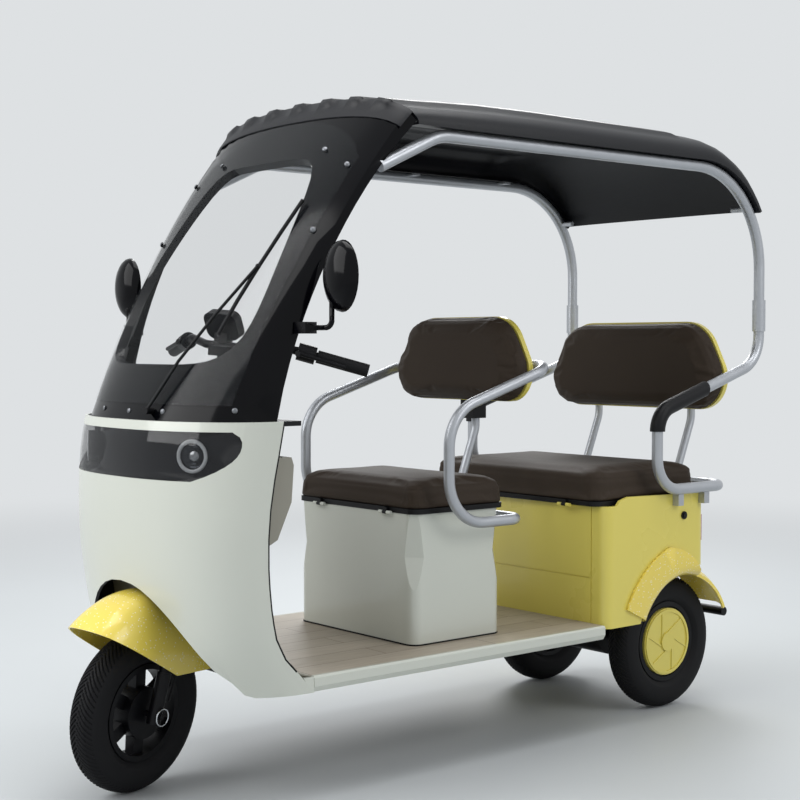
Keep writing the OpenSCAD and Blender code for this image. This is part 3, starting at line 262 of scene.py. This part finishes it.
gloss_black = Paint("black_gloss", (4, 4, 7), 0.12, shine=0.15).wear(0.03, 6)
roof_black = Paint("roof_black", (14, 15, 20), 0.42, shine=0.3).drift(0.06, 6)
roof_black.grain(roof_black.noise(700), 0.12, 0.0006)
plastic = Paint("black_plastic", (13, 13, 16), 0.48, shine=0.22).drift(0.06, 8)
plastic.grain(plastic.noise(900), 0.2, 0.0005)
black_metal = Paint("black_metal", (12, 12, 15), 0.4, metal=0.1, shine=0.2).drift(0.08, 10).wear(0.08, 20)
tube = Paint("grey_tube", (176, 179, 184), 0.36, metal=0.6).drift(0.03, 12).wear(0.07, 30)
vinyl = Paint("brown_vinyl", (56, 47, 39), 0.64, shine=0.15).drift(0.05, 5)
vinyl.grain(vinyl.cells(420), 0.22, 0.0006)
# The leg shield's own grey-beige, darkened as painted shade for the shade it lies in under the windscreen
panel = Paint("leg_panel", (150, 147, 136), 0.46, shine=0.3).drift(0.02, 5)
panel.grain(panel.noise(800), 0.15, 0.0005)
rubber = Paint("tyre_rubber", (10, 10, 13), 0.7, shine=0.25).drift(0.1, 14)
rubber.grain(rubber.noise(500), 0.2, 0.0006)
soft_black = Paint("soft_black", (12, 12, 14), 0.62, shine=0.25).drift(0.08, 16)
clear = Paint("clear_sheet", (60, 64, 66), 0.04, alpha=0.06, shine=0.4).wear(0.02, 5)
smoke = Paint("smoked_lens", (26, 28, 33), 0.05, coat=0.5, alpha=0.3).wear(0.02, 8)
mirror = Paint("mirror_face", (214, 219, 222), 0.03, metal=1.0).wear(0.01, 6)
red_lens = Paint("red_lens", (150, 14, 14), 0.16, coat=0.8).drift(0.12, 60)
chrome = Paint("chrome", (205, 208, 212), 0.12, metal=1.0).wear(0.05, 40)
dark_chrome = Paint("dark_chrome", (70, 73, 78), 0.2, metal=1.0).wear(0.05, 40)
lamp_white = Paint("lamp_white", (240, 243, 246), 0.3).drift(0.01, 60)
bolt_steel = Paint("bolt_steel", (120, 122, 126), 0.32, metal=0.9).wear(0.08, 60)
planks = plank_paint()

looks = {
    cream: "front_cowl side_sills driver_seat_box",
    yellow: "driver_backrest_shell rear_body rear_backrest_shell rear_cap_left rear_cap_right",
    speckled: "rear_fenders front_fender",
    plastic: "dashboard wiper armrest_covers handlebar_controls brake_pedal battery_pack driver_back_bracket"
             " charge_port driver_seat_board rear_seat_board",
    roof_black: "roof roof_visor",
    gloss_black: "headlight_housing windscreen_surround mirrors",
    tube: "canopy_frame rear_frame driver_seat_frame rear_backrest_posts",
    vinyl: "driver_backrest_pad rear_backrest_pad driver_seat_cushion rear_seat_cushion",
    panel: "leg_shield",
    planks: "floor_panel",
    black_metal: "chassis_frame rear_bumper rear_axle leaf_springs front_fork handlebar front_rim"
                 " rear_rim_left rear_rim_right",
    rubber: "front_tyre rear_tyre_left rear_tyre_right",
    soft_black: "handlebar_grips front_brake_cable",
    clear: "windscreen",
    smoke: "headlight_lens",
    mirror: "mirror_glass",
    red_lens: "tail_lamps",
}
paint_of = {name: paint for paint, names in looks.items() for name in names.split()}
for name, obj in nodes.items():
    if not obj.material_slots:
        obj.data.materials.append(None)
    for used in obj.material_slots:
        used.material = paint_of[name].material

behaviour = frame["record"]["behaviour"]
body_of = {name: body for body, names in behaviour["bodies"].items() for name in names}
joint_of = {row["name"]: row for row in behaviour["joints"]}


# Making pieces

def make(name, points, faces, paint, body, smooth=True):
    """A mesh piece in the frame that rides on a body."""
    mesh = bpy.data.meshes.new(name)
    mesh.from_pydata([tuple(p) for p in points], [], faces)
    mesh.update()
    obj = bpy.data.objects.new(name, mesh)
    scene.collection.objects.link(obj)
    finish_piece(obj, paint, body, smooth)
    return obj


def face_outwards(mesh):
    work = bmesh.new()
    work.from_mesh(mesh)
    bmesh.ops.recalc_face_normals(work, faces=work.faces)
    work.to_mesh(mesh)
    work.free()


def finish_piece(obj, paint, body, smooth=True):
    """Gives a piece its paint, its shading and the body that it rides on."""
    mesh = obj.data
    face_outwards(mesh)
    mesh.materials.clear()
    mesh.materials.append(paint.material)
    mesh.shade_smooth() if smooth else mesh.shade_flat()
    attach(obj, body)


def loft(rings, wrap=False):
    """Points and faces of a skin through rings of equal length, closed at its ends or into itself."""
    count = len(rings[0])
    points = [p for ring in rings for p in ring]
    faces = []
    for i in range(len(rings) if wrap else len(rings) - 1):
        m = (i + 1) % len(rings)
        for j in range(count):
            k = (j + 1) % count
            faces.append((i * count + j, i * count + k, m * count + k, m * count + j))
    if not wrap:
        for start in (0, (len(rings) - 1) * count):
            middle = sum((Vector(p) for p in points[start:start + count]), Vector()) / count
            points.append(middle)
            faces += [(start + j, start + (j + 1) % count, len(points) - 1) for j in range(count)]
    return points, faces


def turn_to(axis):
    """Rotation that takes +Z to an axis."""
    return Vector((0, 0, 1)).rotation_difference(Vector(axis).normalized()).to_matrix().to_4x4()


def revolve(profile, place, axis, steps=32, wrap=False):
    """Points and faces of a profile of radius and height turned round an axis at a place."""
    matrix = Matrix.Translation(place) @ turn_to(axis)
    rings = [[matrix @ Vector((r * math.cos(a), r * math.sin(a), h))
              for a in (2 * math.pi * j / steps for j in range(steps))] for r, h in profile]
    return loft(rings, wrap)


# Faces that meet at a smaller angle, in degrees, are shaded as one
SHARP_FROM = 30
WELD = 1e-5


def smooth_copy(name):
    """Stands for a solid of flat facets with the same shape, shaded as one curved skin."""
    source = nodes[name]
    mesh = source.data.copy()
    work = bmesh.new()
    work.from_mesh(mesh)
    bmesh.ops.remove_doubles(work, verts=work.verts, dist=WELD)
    work.to_mesh(mesh)
    work.free()
    obj = bpy.data.objects.new(name + "_skin", mesh)
    obj.matrix_world = source.matrix_world.copy()
    scene.collection.objects.link(obj)
    if mesh.has_custom_normals:
        mesh.normals_split_custom_set([(0, 0, 0)] * len(mesh.loops))
    mesh.shade_smooth()
    mesh.set_sharp_from_angle(angle=math.radians(SHARP_FROM))
    mesh.materials.clear()
    mesh.materials.append(paint_of[name].material)
    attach(obj, body_of[name])
    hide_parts(name)
    return obj


for name in ("windscreen_surround", "windscreen", "headlight_housing", "headlight_lens", "roof", "roof_visor",
             "mirrors", "front_fender", "rear_fenders"):
    smooth_copy(name)

# The cowl is painted outside and bare black plastic inside
COWL_MIDDLE = at(0, 183, 0)
cowl = smooth_copy("front_cowl")
cowl.data.materials.append(plastic.material)
for face in cowl.data.polygons:
    outwards = (cowl.matrix_world @ face.center - COWL_MIDDLE).xy
    if outwards.dot(face.normal.xy) < 0:
        face.material_index = 1


# Tyres

TYRE_R = 0.205
TYRE_HALF = 0.042
SECTION_R = 0.0485
BEAD_R = 0.124
BEAD_HALF = 0.027
# How round the section is towards its crown and its sides
CROWN_POWER = 0.8
SIDE_POWER = 0.7
# Slanted grooves: their number, slant, depth and share of a pitch, and the band that they cut
TURNS = 720
PITCHES = 90
SWEEP = 90
GROOVE_DEPTH = 0.0035
GROOVE_SHARE = 0.3
TREAD_DEPTH = 0.016
TREAD_HALF = 0.039
CENTRE_RIB_HALF = 0.003
GROOVE_SHARP_FROM = 38
# Raised line on the side wall
RIDGE_R = 0.166
RIDGE_HALF = 0.004
RIDGE_HEIGHT = 0.0008


def tyre_section():
    """Radius and height of points from bead to bead, close together where the tread is cut."""
    section = [(BEAD_R, -BEAD_HALF)]
    angles = np.concatenate((np.arange(-110, -62, 5), np.arange(-62, 62.1, 2), np.arange(67, 110.1, 5)))
    for a in np.radians(angles):
        c, s = math.cos(a), math.sin(a)
        r = TYRE_R - SECTION_R + math.copysign(SECTION_R * abs(c) ** CROWN_POWER, c)
        section.append((r, math.copysign(TYRE_HALF * abs(s) ** SIDE_POWER, s)))
    return section + [(BEAD_R, BEAD_HALF)]


def tyre_ring(r, h, matrix):
    """Points once round a tyre at a place of its section, cut by the grooves."""
    tread = r > TYRE_R - TREAD_DEPTH and CENTRE_RIB_HALF < abs(h) < TREAD_HALF
    ridge = RIDGE_HEIGHT if abs(r - RIDGE_R) < RIDGE_HALF else 0.0
    stagger = 0.5 if h > 0 else 0
    ring = []
    for j in range(TURNS):
        part = (j * PITCHES / TURNS - SWEEP * abs(h) + stagger) % 1.0
        cut = GROOVE_DEPTH if tread and part < GROOVE_SHARE else 0.0
        reach = r - cut + ridge
        a = 2 * math.pi * j / TURNS
        ring.append(matrix @ Vector((reach * math.cos(a), reach * math.sin(a), h)))
    return ring


def tyre(name, joint):
    """A tyre with slanted grooves, in the place of its plain solid."""
    matrix = Matrix.Translation(Vector(joint["pos_m"])) @ turn_to(joint["axis"])
    points, faces = loft([tyre_ring(r, h, matrix) for r, h in tyre_section()], True)
    obj = make(name + "_tread", points, faces, rubber, body_of[name])
    obj.data.set_sharp_from_angle(angle=math.radians(GROOVE_SHARP_FROM))
    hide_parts(name)


for name in ("front_tyre", "rear_tyre_left", "rear_tyre_right"):
    tyre(name, joint_of[name.replace("tyre", "wheel") + "_roll"])


# Padded pieces

# A pad is this much smaller than its solid across, and lower, so that it has room to swell
PAD_TRIM = 0.004
SWELL_ROOM = 0.003
REST_GAP = 0.0002
# Cloth: its pressure, the frames that it runs, the most that it moves and the height up to which it is held
PRESSURE = 4.0
SWELL_FRAMES = 20
MOST_SWELL = 0.008
HELD_BELOW = 0.004
# Sewn seams: width and depth on a face and on a side, and how deep the side reaches
FACE_SEAM = (0.0042, 0.0032)
SIDE_SEAM = (0.0038, 0.003)
SIDE_DEPTH = 0.02
OUTLINE_POINTS = 128
OUTLINE_TURNS = 1440
EDGE_TURNS = 180


def corner_circles(w, h, low, high, lean):
    """Corners of a pad's outline, each a middle and a radius: the high ones may stand closer together."""
    return [(side * (w / 2 - low), low - h / 2, low) for side in (-1, 1)] + [
        (side * (w / 2 - lean - high), h / 2 - high, high) for side in (-1, 1)]


def reach_of(circles, angles):
    """How far the outline round some circles goes in each direction, and the circle that it meets there."""
    circles = np.array(circles)
    ways = np.stack((np.cos(angles), np.sin(angles)), axis=1)
    far = ways @ circles[:, :2].T + circles[:, 2]
    return ways, far.max(axis=1), circles[far.argmax(axis=1)]


def hollow(along, across, half_along, half_across, pull):
    """Draws in the sides of an outline between its corners."""
    return along * (1 - pull / half_along * (1 - np.minimum(1, np.abs(across / half_across)) ** 2))


def outline(circles, inset, pull):
    """Even points on the outline round some circles, drawn in by an inset, its sides hollow."""
    ways, _, met = reach_of(circles, np.linspace(0, 2 * math.pi, OUTLINE_TURNS + 1))
    most = 0.7 * min(c[2] for c in circles)
    points = met[:, :2] + ways * (met[:, 2] - min(inset, most))[:, None]
    half = np.abs(points).max(axis=0)
    if inset > most:
        points = points * (half - (inset - most)) / half
        half = np.abs(points).max(axis=0)
    steps = np.concatenate(([0], np.cumsum(np.linalg.norm(np.diff(points, axis=0), axis=1))))
    even = np.linspace(0, steps[-1], OUTLINE_POINTS + 1)[:-1]
    x, y = (np.interp(even, steps, points[:, k]) for k in (0, 1))
    return np.stack((hollow(x, y, half[0], half[1], pull), hollow(y, x, half[1], half[0], pull)), axis=1)


def pad_rings(circles, t, edge, crown, base_edge, pull):
    """Rings of a pad that lies on its back: height 0 at the back, t at the top of its crown."""
    reach = max(c[1] + c[2] for c in circles)
    rim = t - crown
    # Each row is an inset and a height: the back with its edge, the side, the front with its edge and crown
    rows = [(0.7 * reach, 0.0), (0.35 * reach, 0.0), (base_edge + 0.006, 0.0)]
    for a in np.radians((0, 30, 60, 90)):
        rows.append((base_edge * (1 - math.sin(a)), base_edge * (1 - math.cos(a))))
    rows += [(0.0, base_edge + (rim - edge - base_edge) * k) for k in (0.35, 0.7, 1.0)]
    for a in np.radians((18, 36, 54, 72, 90)):
        rows.append((edge * (1 - math.cos(a)), rim - edge + edge * math.sin(a)))
    top = rows[-1][0]
    for k in (0.08, 0.18, 0.32, 0.5, 0.7, 0.86):
        rows.append((top + (0.96 * reach - top) * k, rim + crown * (1 - (1 - k) ** 2.2)))
    return [[(x, y, height) for x, y in outline(circles, inset, pull)] for inset, height in rows]


def corners_of(mesh):
    """Places of a mesh's vertices, one row each."""
    flat = np.empty(len(mesh.vertices) * 3)
    mesh.vertices.foreach_get("co", flat)
    return flat.reshape(-1, 3)


def remade(obj):
    """A new mesh with the modifiers of an object worked in."""
    graph = bpy.context.evaluated_depsgraph_get()
    return bpy.data.meshes.new_from_object(obj.evaluated_get(graph))


def swell(obj, voxel):
    """Places of the pad's vertices, blown up a little as stitched cloth with its back held where it rests."""
    remesh = obj.modifiers.new("remesh", "REMESH")
    remesh.mode = "VOXEL"
    remesh.voxel_size = voxel
    mesh = remade(obj)
    obj.modifiers.clear()
    obj.data = mesh
    start = corners_of(mesh)
    group = obj.vertex_groups.new(name="held")
    group.add([int(i) for i in np.nonzero(start[:, 2] < HELD_BELOW)[0]], 1.0, "REPLACE")
    cloth = obj.modifiers.new("cloth", "CLOTH")
    cloth.settings.quality = 5
    cloth.settings.mass = 0.3
    cloth.settings.tension_stiffness = 18
    cloth.settings.compression_stiffness = 18
    cloth.settings.shear_stiffness = 8
    cloth.settings.bending_stiffness = 0.8
    cloth.settings.use_pressure = True
    cloth.settings.uniform_pressure_force = PRESSURE
    cloth.settings.effector_weights.gravity = 0
    cloth.settings.vertex_group_mass = "held"
    cloth.collision_settings.use_collision = False
    for number in range(1, SWELL_FRAMES + 1):
        scene.frame_set(number)
    blown = remade(obj)
    move = corners_of(blown) - start
    obj.modifiers.clear()
    obj.vertex_groups.clear()
    bpy.data.meshes.remove(blown)
    scene.frame_set(1)
    far = np.linalg.norm(move, axis=1, keepdims=True)
    return start + move * np.minimum(1.0, MOST_SWELL / np.maximum(far, 1e-9))


def pad(name, circles, t, place, turned, voxel, seams, edge, crown, base_edge, pull):
    """A padded piece in the place of its plain solid."""
    points, faces = loft(pad_rings(circles, t, edge, crown, base_edge, pull))
    mesh = bpy.data.meshes.new(name + "_soft")
    mesh.from_pydata([tuple(p) for p in points], [], faces)
    face_outwards(mesh)
    obj = bpy.data.objects.new(name + "_soft", mesh)
    scene.collection.objects.link(obj)
    shape = seams(swell(obj, voxel), circles, t)
    half_w, half_h = (max(abs(c[k]) + c[2] for c in circles) + SWELL_ROOM for k in (0, 1))
    shape = np.clip(shape, (-half_w, -half_h, REST_GAP), (half_w, half_h, t + SWELL_ROOM))
    matrix = np.array(Matrix.Translation(place) @ turned)
    shape = shape @ matrix[:3, :3].T + matrix[:3, 3]
    obj.data.vertices.foreach_set("co", shape.reshape(-1))
    obj.data.update()
    finish_piece(obj, vinyl, body_of[name])
    even = obj.modifiers.new("smooth", "SUBSURF")
    even.levels = 1
    even.render_levels = 1
    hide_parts(name)


def groove(points, level, seam, inward):
    """Presses a sewn seam along the zero line of a level, towards inward."""
    width, depth = seam
    fall = depth * np.exp(-(level / width) ** 2)
    return points + inward * fall[:, None]


def edge_distance(points, circles):
    """Distance inwards from the outline round some circles."""
    ways, far, _ = reach_of(circles, np.linspace(0, 2 * math.pi, EDGE_TURNS + 1)[:-1])
    return (far[None, :] - points[:, :2] @ ways.T).min(axis=1)


def face_seam(inset):
    """A seam round the face of a pad, left off its lower third."""
    def press(points, circles, t):
        level = np.where(points[:, 2] > 0.35 * t, edge_distance(points, circles) - inset, 1.0)
        return groove(points, level, FACE_SEAM, np.array((0, 0, -1.0)))
    return press


def side_seam(share):
    """A seam round the side of a pad at a share of its height."""
    def press(points, circles, t):
        inward = -points / np.maximum(np.linalg.norm(points[:, :2], axis=1, keepdims=True), 1e-6)
        inward[:, 2] = 0
        level = np.where(edge_distance(points, circles) < SIDE_DEPTH, points[:, 2] - share * t, 1.0)
        return groove(points, level, SIDE_SEAM, inward)
    return press


def facing(node, forwards):
    """Middle of a solid's resting face, with the turn that stands the pad on it."""
    low, high = (Vector(c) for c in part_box(node))
    middle = (low + high) / 2
    if forwards:
        return Vector((middle.x, high.y, middle.z)), Matrix.Rotation(math.radians(90), 4, "X"), high - low
    return Vector((middle.x, middle.y, low.z)), Matrix.Identity(4), high - low


BACK_LEAN = 0.03
for name, corner, voxel in (("driver_backrest_pad", 0.1, 0.006), ("rear_backrest_pad", 0.115, 0.0065)):
    place, turned, size = facing(name, True)
    circles = corner_circles(size.x - PAD_TRIM, size.z - PAD_TRIM, 0.9 * corner, 1.1 * corner, BACK_LEAN)
    pad(name, circles, size.y - SWELL_ROOM, place, turned, voxel, face_seam(0.016),
        edge=0.022, crown=0.009, base_edge=0.006, pull=0.003)
for name, corner, voxel in (("driver_seat_cushion", 0.045, 0.006), ("rear_seat_cushion", 0.05, 0.0075)):
    place, turned, size = facing(name, False)
    circles = corner_circles(size.x - PAD_TRIM, size.y - PAD_TRIM, corner, corner, 0)
    pad(name, circles, size.z - SWELL_ROOM, place, turned, voxel, side_seam(0.66),
        edge=0.02, crown=0.012, base_edge=0.005, pull=0.004)


# Small pieces

SIDES = ((-1, "right"), (1, "left"))


def surface_of(*names):
    """Tree of the rigid solids' faces, for setting pieces on to them."""
    points, faces = [], []
    for name in names:
        base = len(points)
        points += [nodes[name].matrix_world @ v.co for v in nodes[name].data.vertices]
        faces += [[base + i for i in f.vertices] for f in nodes[name].data.polygons]
    return BVHTree.FromPolygons(points, faces)


def tube_along(path, radius, closed=False, steps=10):
    """Points and faces of a thin round strip along a path."""
    rings = []
    for i, p in enumerate(path):
        before = path[i - 1] if closed or i else p
        after = path[(i + 1) % len(path)] if closed or i + 1 < len(path) else p
        turn = turn_to(after - before)
        rings.append([p + turn @ Vector((radius * math.cos(a), radius * math.sin(a), 0))
                      for a in (2 * math.pi * k / steps for k in range(steps))])
    return loft(rings, closed)


# Domed bolts on the left and in the middle of the screen: a place, as at() takes it, and the way out
BOLT = [(0.0072, -0.001), (0.0072, 0.0012), (0.0062, 0.0028), (0.0035, 0.0037), (0.0008, 0.004)]
BOLT_PLACES = [
    ((331.7, 91.2, 967.0), (0.903, -0.528, 0)),
    ((144.4, 5.3, 961.1), (0.39, -0.95, 0)),
    ((0, -4.9, 958.8), (0, -1, 0)),
    ((351.8, 307.3, 1404.4), (0.877, -0.555, 0.17)),
    ((346.7, 417.0, 1571.4), (0.837, -0.497, 0.41)),
    ((236.0, 432.4, 1620.0), (0.566, -0.627, 0.624)),
]
BOLT_DROP = 0.05


def screen_bolts():
    skin = surface_of("windscreen_surround", "windscreen")
    points, faces = [], []
    for side, _ in SIDES:
        for (x, s, z), (nx, ny, nz) in BOLT_PLACES:
            if x == 0 and side < 0:
                continue
            out = Vector((side * nx, ny, nz)).normalized()
            place = at(side * x, s, z)
            hit = skin.ray_cast(place + out * BOLT_DROP, -out)[0]
            p, f = revolve(BOLT, hit or place, out, 16)
            faces += [tuple(i + len(points) for i in face) for face in f]
            points += p
    make("screen_bolts", points, faces, bolt_steel, "vehicle")


# Lamps, each profile a radius and a height over the seat in the housing
LAMP = at(242.792, 41.8792, 858)
LAMP_TURN = math.radians(30)
REFLECTOR = [(0.0305, 0.0085), (0.0305, 0.020), (0.0285, 0.020), (0.024, 0.013), (0.016, 0.0095),
             (0.004, 0.0088)]
LAMP_GLASS = [(0.0165, 0.0095), (0.0165, 0.014), (0.014, 0.0195), (0.009, 0.0225), (0.002, 0.0238)]
LIGHT_RING = [(0.0318, 0.0258), (0.0318, 0.0275), (0.0340, 0.0292), (0.0392, 0.0292), (0.0412, 0.0275),
              (0.0412, 0.0258)]


def lamp_insert(side, label):
    axis = Vector((side * math.sin(LAMP_TURN), -math.cos(LAMP_TURN), 0))
    seat = Vector((side * LAMP.x, LAMP.y, LAMP.z))
    points, faces = revolve(REFLECTOR, seat, axis, 48)
    make("lamp_reflector_" + label, points, faces, dark_chrome, "vehicle")
    points, faces = revolve(LAMP_GLASS, seat, axis, 40)
    make("lamp_glass_" + label, points, faces, chrome, "vehicle")
    points, faces = revolve(LIGHT_RING, seat, axis, 56, True)
    make("lamp_ring_" + label, points, faces, lamp_white, "vehicle")


# Painted shade: a dark strip along each rear edge of the cowl stands for the cowl's edge in shadow; each row
# a height and a distance behind the front axle
COWL_EDGE = [(330, 234), (345, 220), (364, 202), (390, 188), (416, 175), (453, 167), (490, 161), (538, 156),
             (587, 153), (659, 153), (730, 159), (801, 171), (847, 181), (890, 190), (938, 199.6)]
COWL_EDGE_X = 377
SHADE_LINE_BEHIND = 2
SHADE_LINE_R = 0.003


def cowl_edge_shade(side, label):
    path = [at(side * COWL_EDGE_X, s + SHADE_LINE_BEHIND, z) for z, s in COWL_EDGE]
    points, faces = tube_along(path, SHADE_LINE_R)
    # The dark tube is painted shade along the cowl's rear edge
    make("cowl_edge_shade_" + label, points, faces, soft_black, "vehicle")


# Cream ends that join the sills to the foot of the cowl, in rows as above and from inside to outside
SILL_END = [(258, 310.5), (289.8, 310.5), (289.8, 274), (283, 274)]
SILL_END_X = (356, 377.3)


def sill_end(side, label):
    points, faces = loft([[at(side * x, s, z) for s, z in SILL_END] for x in SILL_END_X])
    make("sill_end_" + label, points, faces, cream, "vehicle", False)


# Painted shade: a dark bead round the foot of the seat box, for the shade where the box meets the floor
FOOT_SHADE_LIFT = 0.002
FOOT_SHADE_RADIUS = 0.0022


def half_hull(ordered):
    """One side of the hull round points in order."""
    kept = []
    for p in ordered:
        while len(kept) > 1 and ((kept[-1][0] - kept[-2][0]) * (p[1] - kept[-2][1])
                                 - (kept[-1][1] - kept[-2][1]) * (p[0] - kept[-2][0])) <= 0:
            kept.pop()
        kept.append(p)
    return kept


def seat_box_foot_shade():
    box = nodes["driver_seat_box"]
    corners = [box.matrix_world @ v.co for v in box.data.vertices]
    low = min(p.z for p in corners)
    spots = sorted({(round(p.x, 5), round(p.y, 5)) for p in corners if p.z < low + FOOT_SHADE_LIFT})
    foot = half_hull(spots)[:-1] + half_hull(spots[::-1])[:-1]
    points, faces = tube_along([Vector((x, y, low + FOOT_SHADE_LIFT)) for x, y in foot], FOOT_SHADE_RADIUS, True)
    # The dark tube is painted shade at the foot of the box
    make("seat_box_foot_shade", points, faces, soft_black, "vehicle")


# Bright rim of the front axle's cap, found from outside the fork
CAP_RIM = [(0.0195, -0.0005), (0.0195, 0.0022), (0.0205, 0.0028), (0.0218, 0.0028), (0.0228, 0.0022),
           (0.0228, -0.0005)]
CAP_SIGHT = 0.25


def front_axle_rim():
    hub = Vector(joint_of["front_wheel_roll"]["pos_m"])
    out = Vector(joint_of["front_wheel_roll"]["axis"])
    hit = surface_of("front_fork").ray_cast(hub + out * CAP_SIGHT, -out)[0]
    points, faces = revolve(CAP_RIM, hit, out, 48, True)
    make("front_axle_rim", points, faces, chrome, "steering")


screen_bolts()
for make_piece in (lamp_insert, cowl_edge_shade, sill_end):
    for side, label in SIDES:
        make_piece(side, label)
seat_box_foot_shade()
front_axle_rim()


# Floor and light

BACKDROP = linear((222, 225, 227))
SKY = (0.80, 0.82, 0.84, 1)
SKY_STRENGTH = 0.62
FLOOR_HALF = 40
FLOOR_DROP = 0.0005
# Distances from the middle between which the floor fades into the backdrop
FADE_FROM = 1.8
FADE_TO = 7.5
# Area lights: place, size and power
AIM = Vector((0, 0, 0.8))
LIGHTS = {
    "key": ((-1.2, -4.6, 3.8), 4.6, 215),
    "side": ((4.4, 1.6, 3.4), 2.4, 60),
    "top": ((0.2, 0.3, 5.2), 3.5, 150),
    "back": ((-3.2, 3.0, 3.4), 2.2, 110),
}


def seen_rays(tree):
    """1 for the rays by which the camera, a shiny face or a clear one sees something, else 0."""
    rays = tree.nodes.new("ShaderNodeLightPath")
    found = rays.outputs["Is Camera Ray"]
    for kind in ("Is Glossy Ray", "Is Transmission Ray"):
        either = tree.nodes.new("ShaderNodeMath")
        either.operation = "MAXIMUM"
        tree.links.new(found, either.inputs[0])
        tree.links.new(rays.outputs[kind], either.inputs[1])
        found = either.outputs[0]
    return found


def floor_paint():
    """A pale floor that fades into the backdrop away from the vehicle."""
    paint = Paint("pale_floor", (186, 190, 192), 0.55, shine=0.3).drift(0.015, 0.8)
    away = paint.add("ShaderNodeVectorMath", operation="LENGTH")
    paint.link(paint.place, away.inputs[0])
    fade = paint.add("ShaderNodeMapRange", interpolation_type="SMOOTHSTEP")
    fade.inputs["From Min"].default_value = FADE_FROM
    fade.inputs["From Max"].default_value = FADE_TO
    paint.link(away.outputs["Value"], fade.inputs["Value"])
    pale = paint.add("ShaderNodeEmission")
    pale.inputs["Color"].default_value = BACKDROP
    both = paint.add("ShaderNodeMixShader")
    paint.link(paint.maths("MULTIPLY", fade.outputs["Result"], seen_rays(paint.tree)), both.inputs[0])
    paint.link(paint.shader.outputs[0], both.inputs[1])
    paint.link(pale.outputs[0], both.inputs[2])
    paint.link(both.outputs[0], paint.tree.nodes["Material Output"].inputs["Surface"])
    return paint


def lay_floor():
    corners = [(x * FLOOR_HALF, y * FLOOR_HALF, 0) for x, y in ((-1, -1), (1, -1), (1, 1), (-1, 1))]
    mesh = bpy.data.meshes.new("floor")
    mesh.from_pydata(corners, [], [(0, 1, 2, 3)])
    mesh.materials.append(floor_paint().material)
    floor = bpy.data.objects.new("floor", mesh)
    floor.location.z = -FLOOR_DROP
    scene.collection.objects.link(floor)


def set_world():
    """The backdrop that is seen is paler than the light that falls on the vehicle."""
    world = bpy.data.worlds.new("studio")
    scene.world = world
    world.use_nodes = True
    tree = world.node_tree
    sky = tree.nodes["Background"]
    sky.inputs["Color"].default_value = SKY
    sky.inputs["Strength"].default_value = SKY_STRENGTH
    backdrop = tree.nodes.new("ShaderNodeBackground")
    backdrop.inputs["Color"].default_value = BACKDROP
    backdrop.inputs["Strength"].default_value = 1.0
    choice = tree.nodes.new("ShaderNodeMixShader")
    tree.links.new(seen_rays(tree), choice.inputs[0])
    tree.links.new(sky.outputs[0], choice.inputs[1])
    tree.links.new(backdrop.outputs[0], choice.inputs[2])
    tree.links.new(choice.outputs[0], tree.nodes["World Output"].inputs["Surface"])


def area_light(name, place, size, power):
    data = bpy.data.lights.new(name, "AREA")
    data.energy = power
    data.size = size
    lamp = bpy.data.objects.new(name, data)
    lamp.location = place
    lamp.rotation_euler = (AIM - Vector(place)).to_track_quat("-Z", "Y").to_euler()
    scene.collection.objects.link(lamp)


lay_floor()
set_world()
for name, (place, size, power) in LIGHTS.items():
    area_light(name, place, size, power)

bpy.context.view_layer.update()
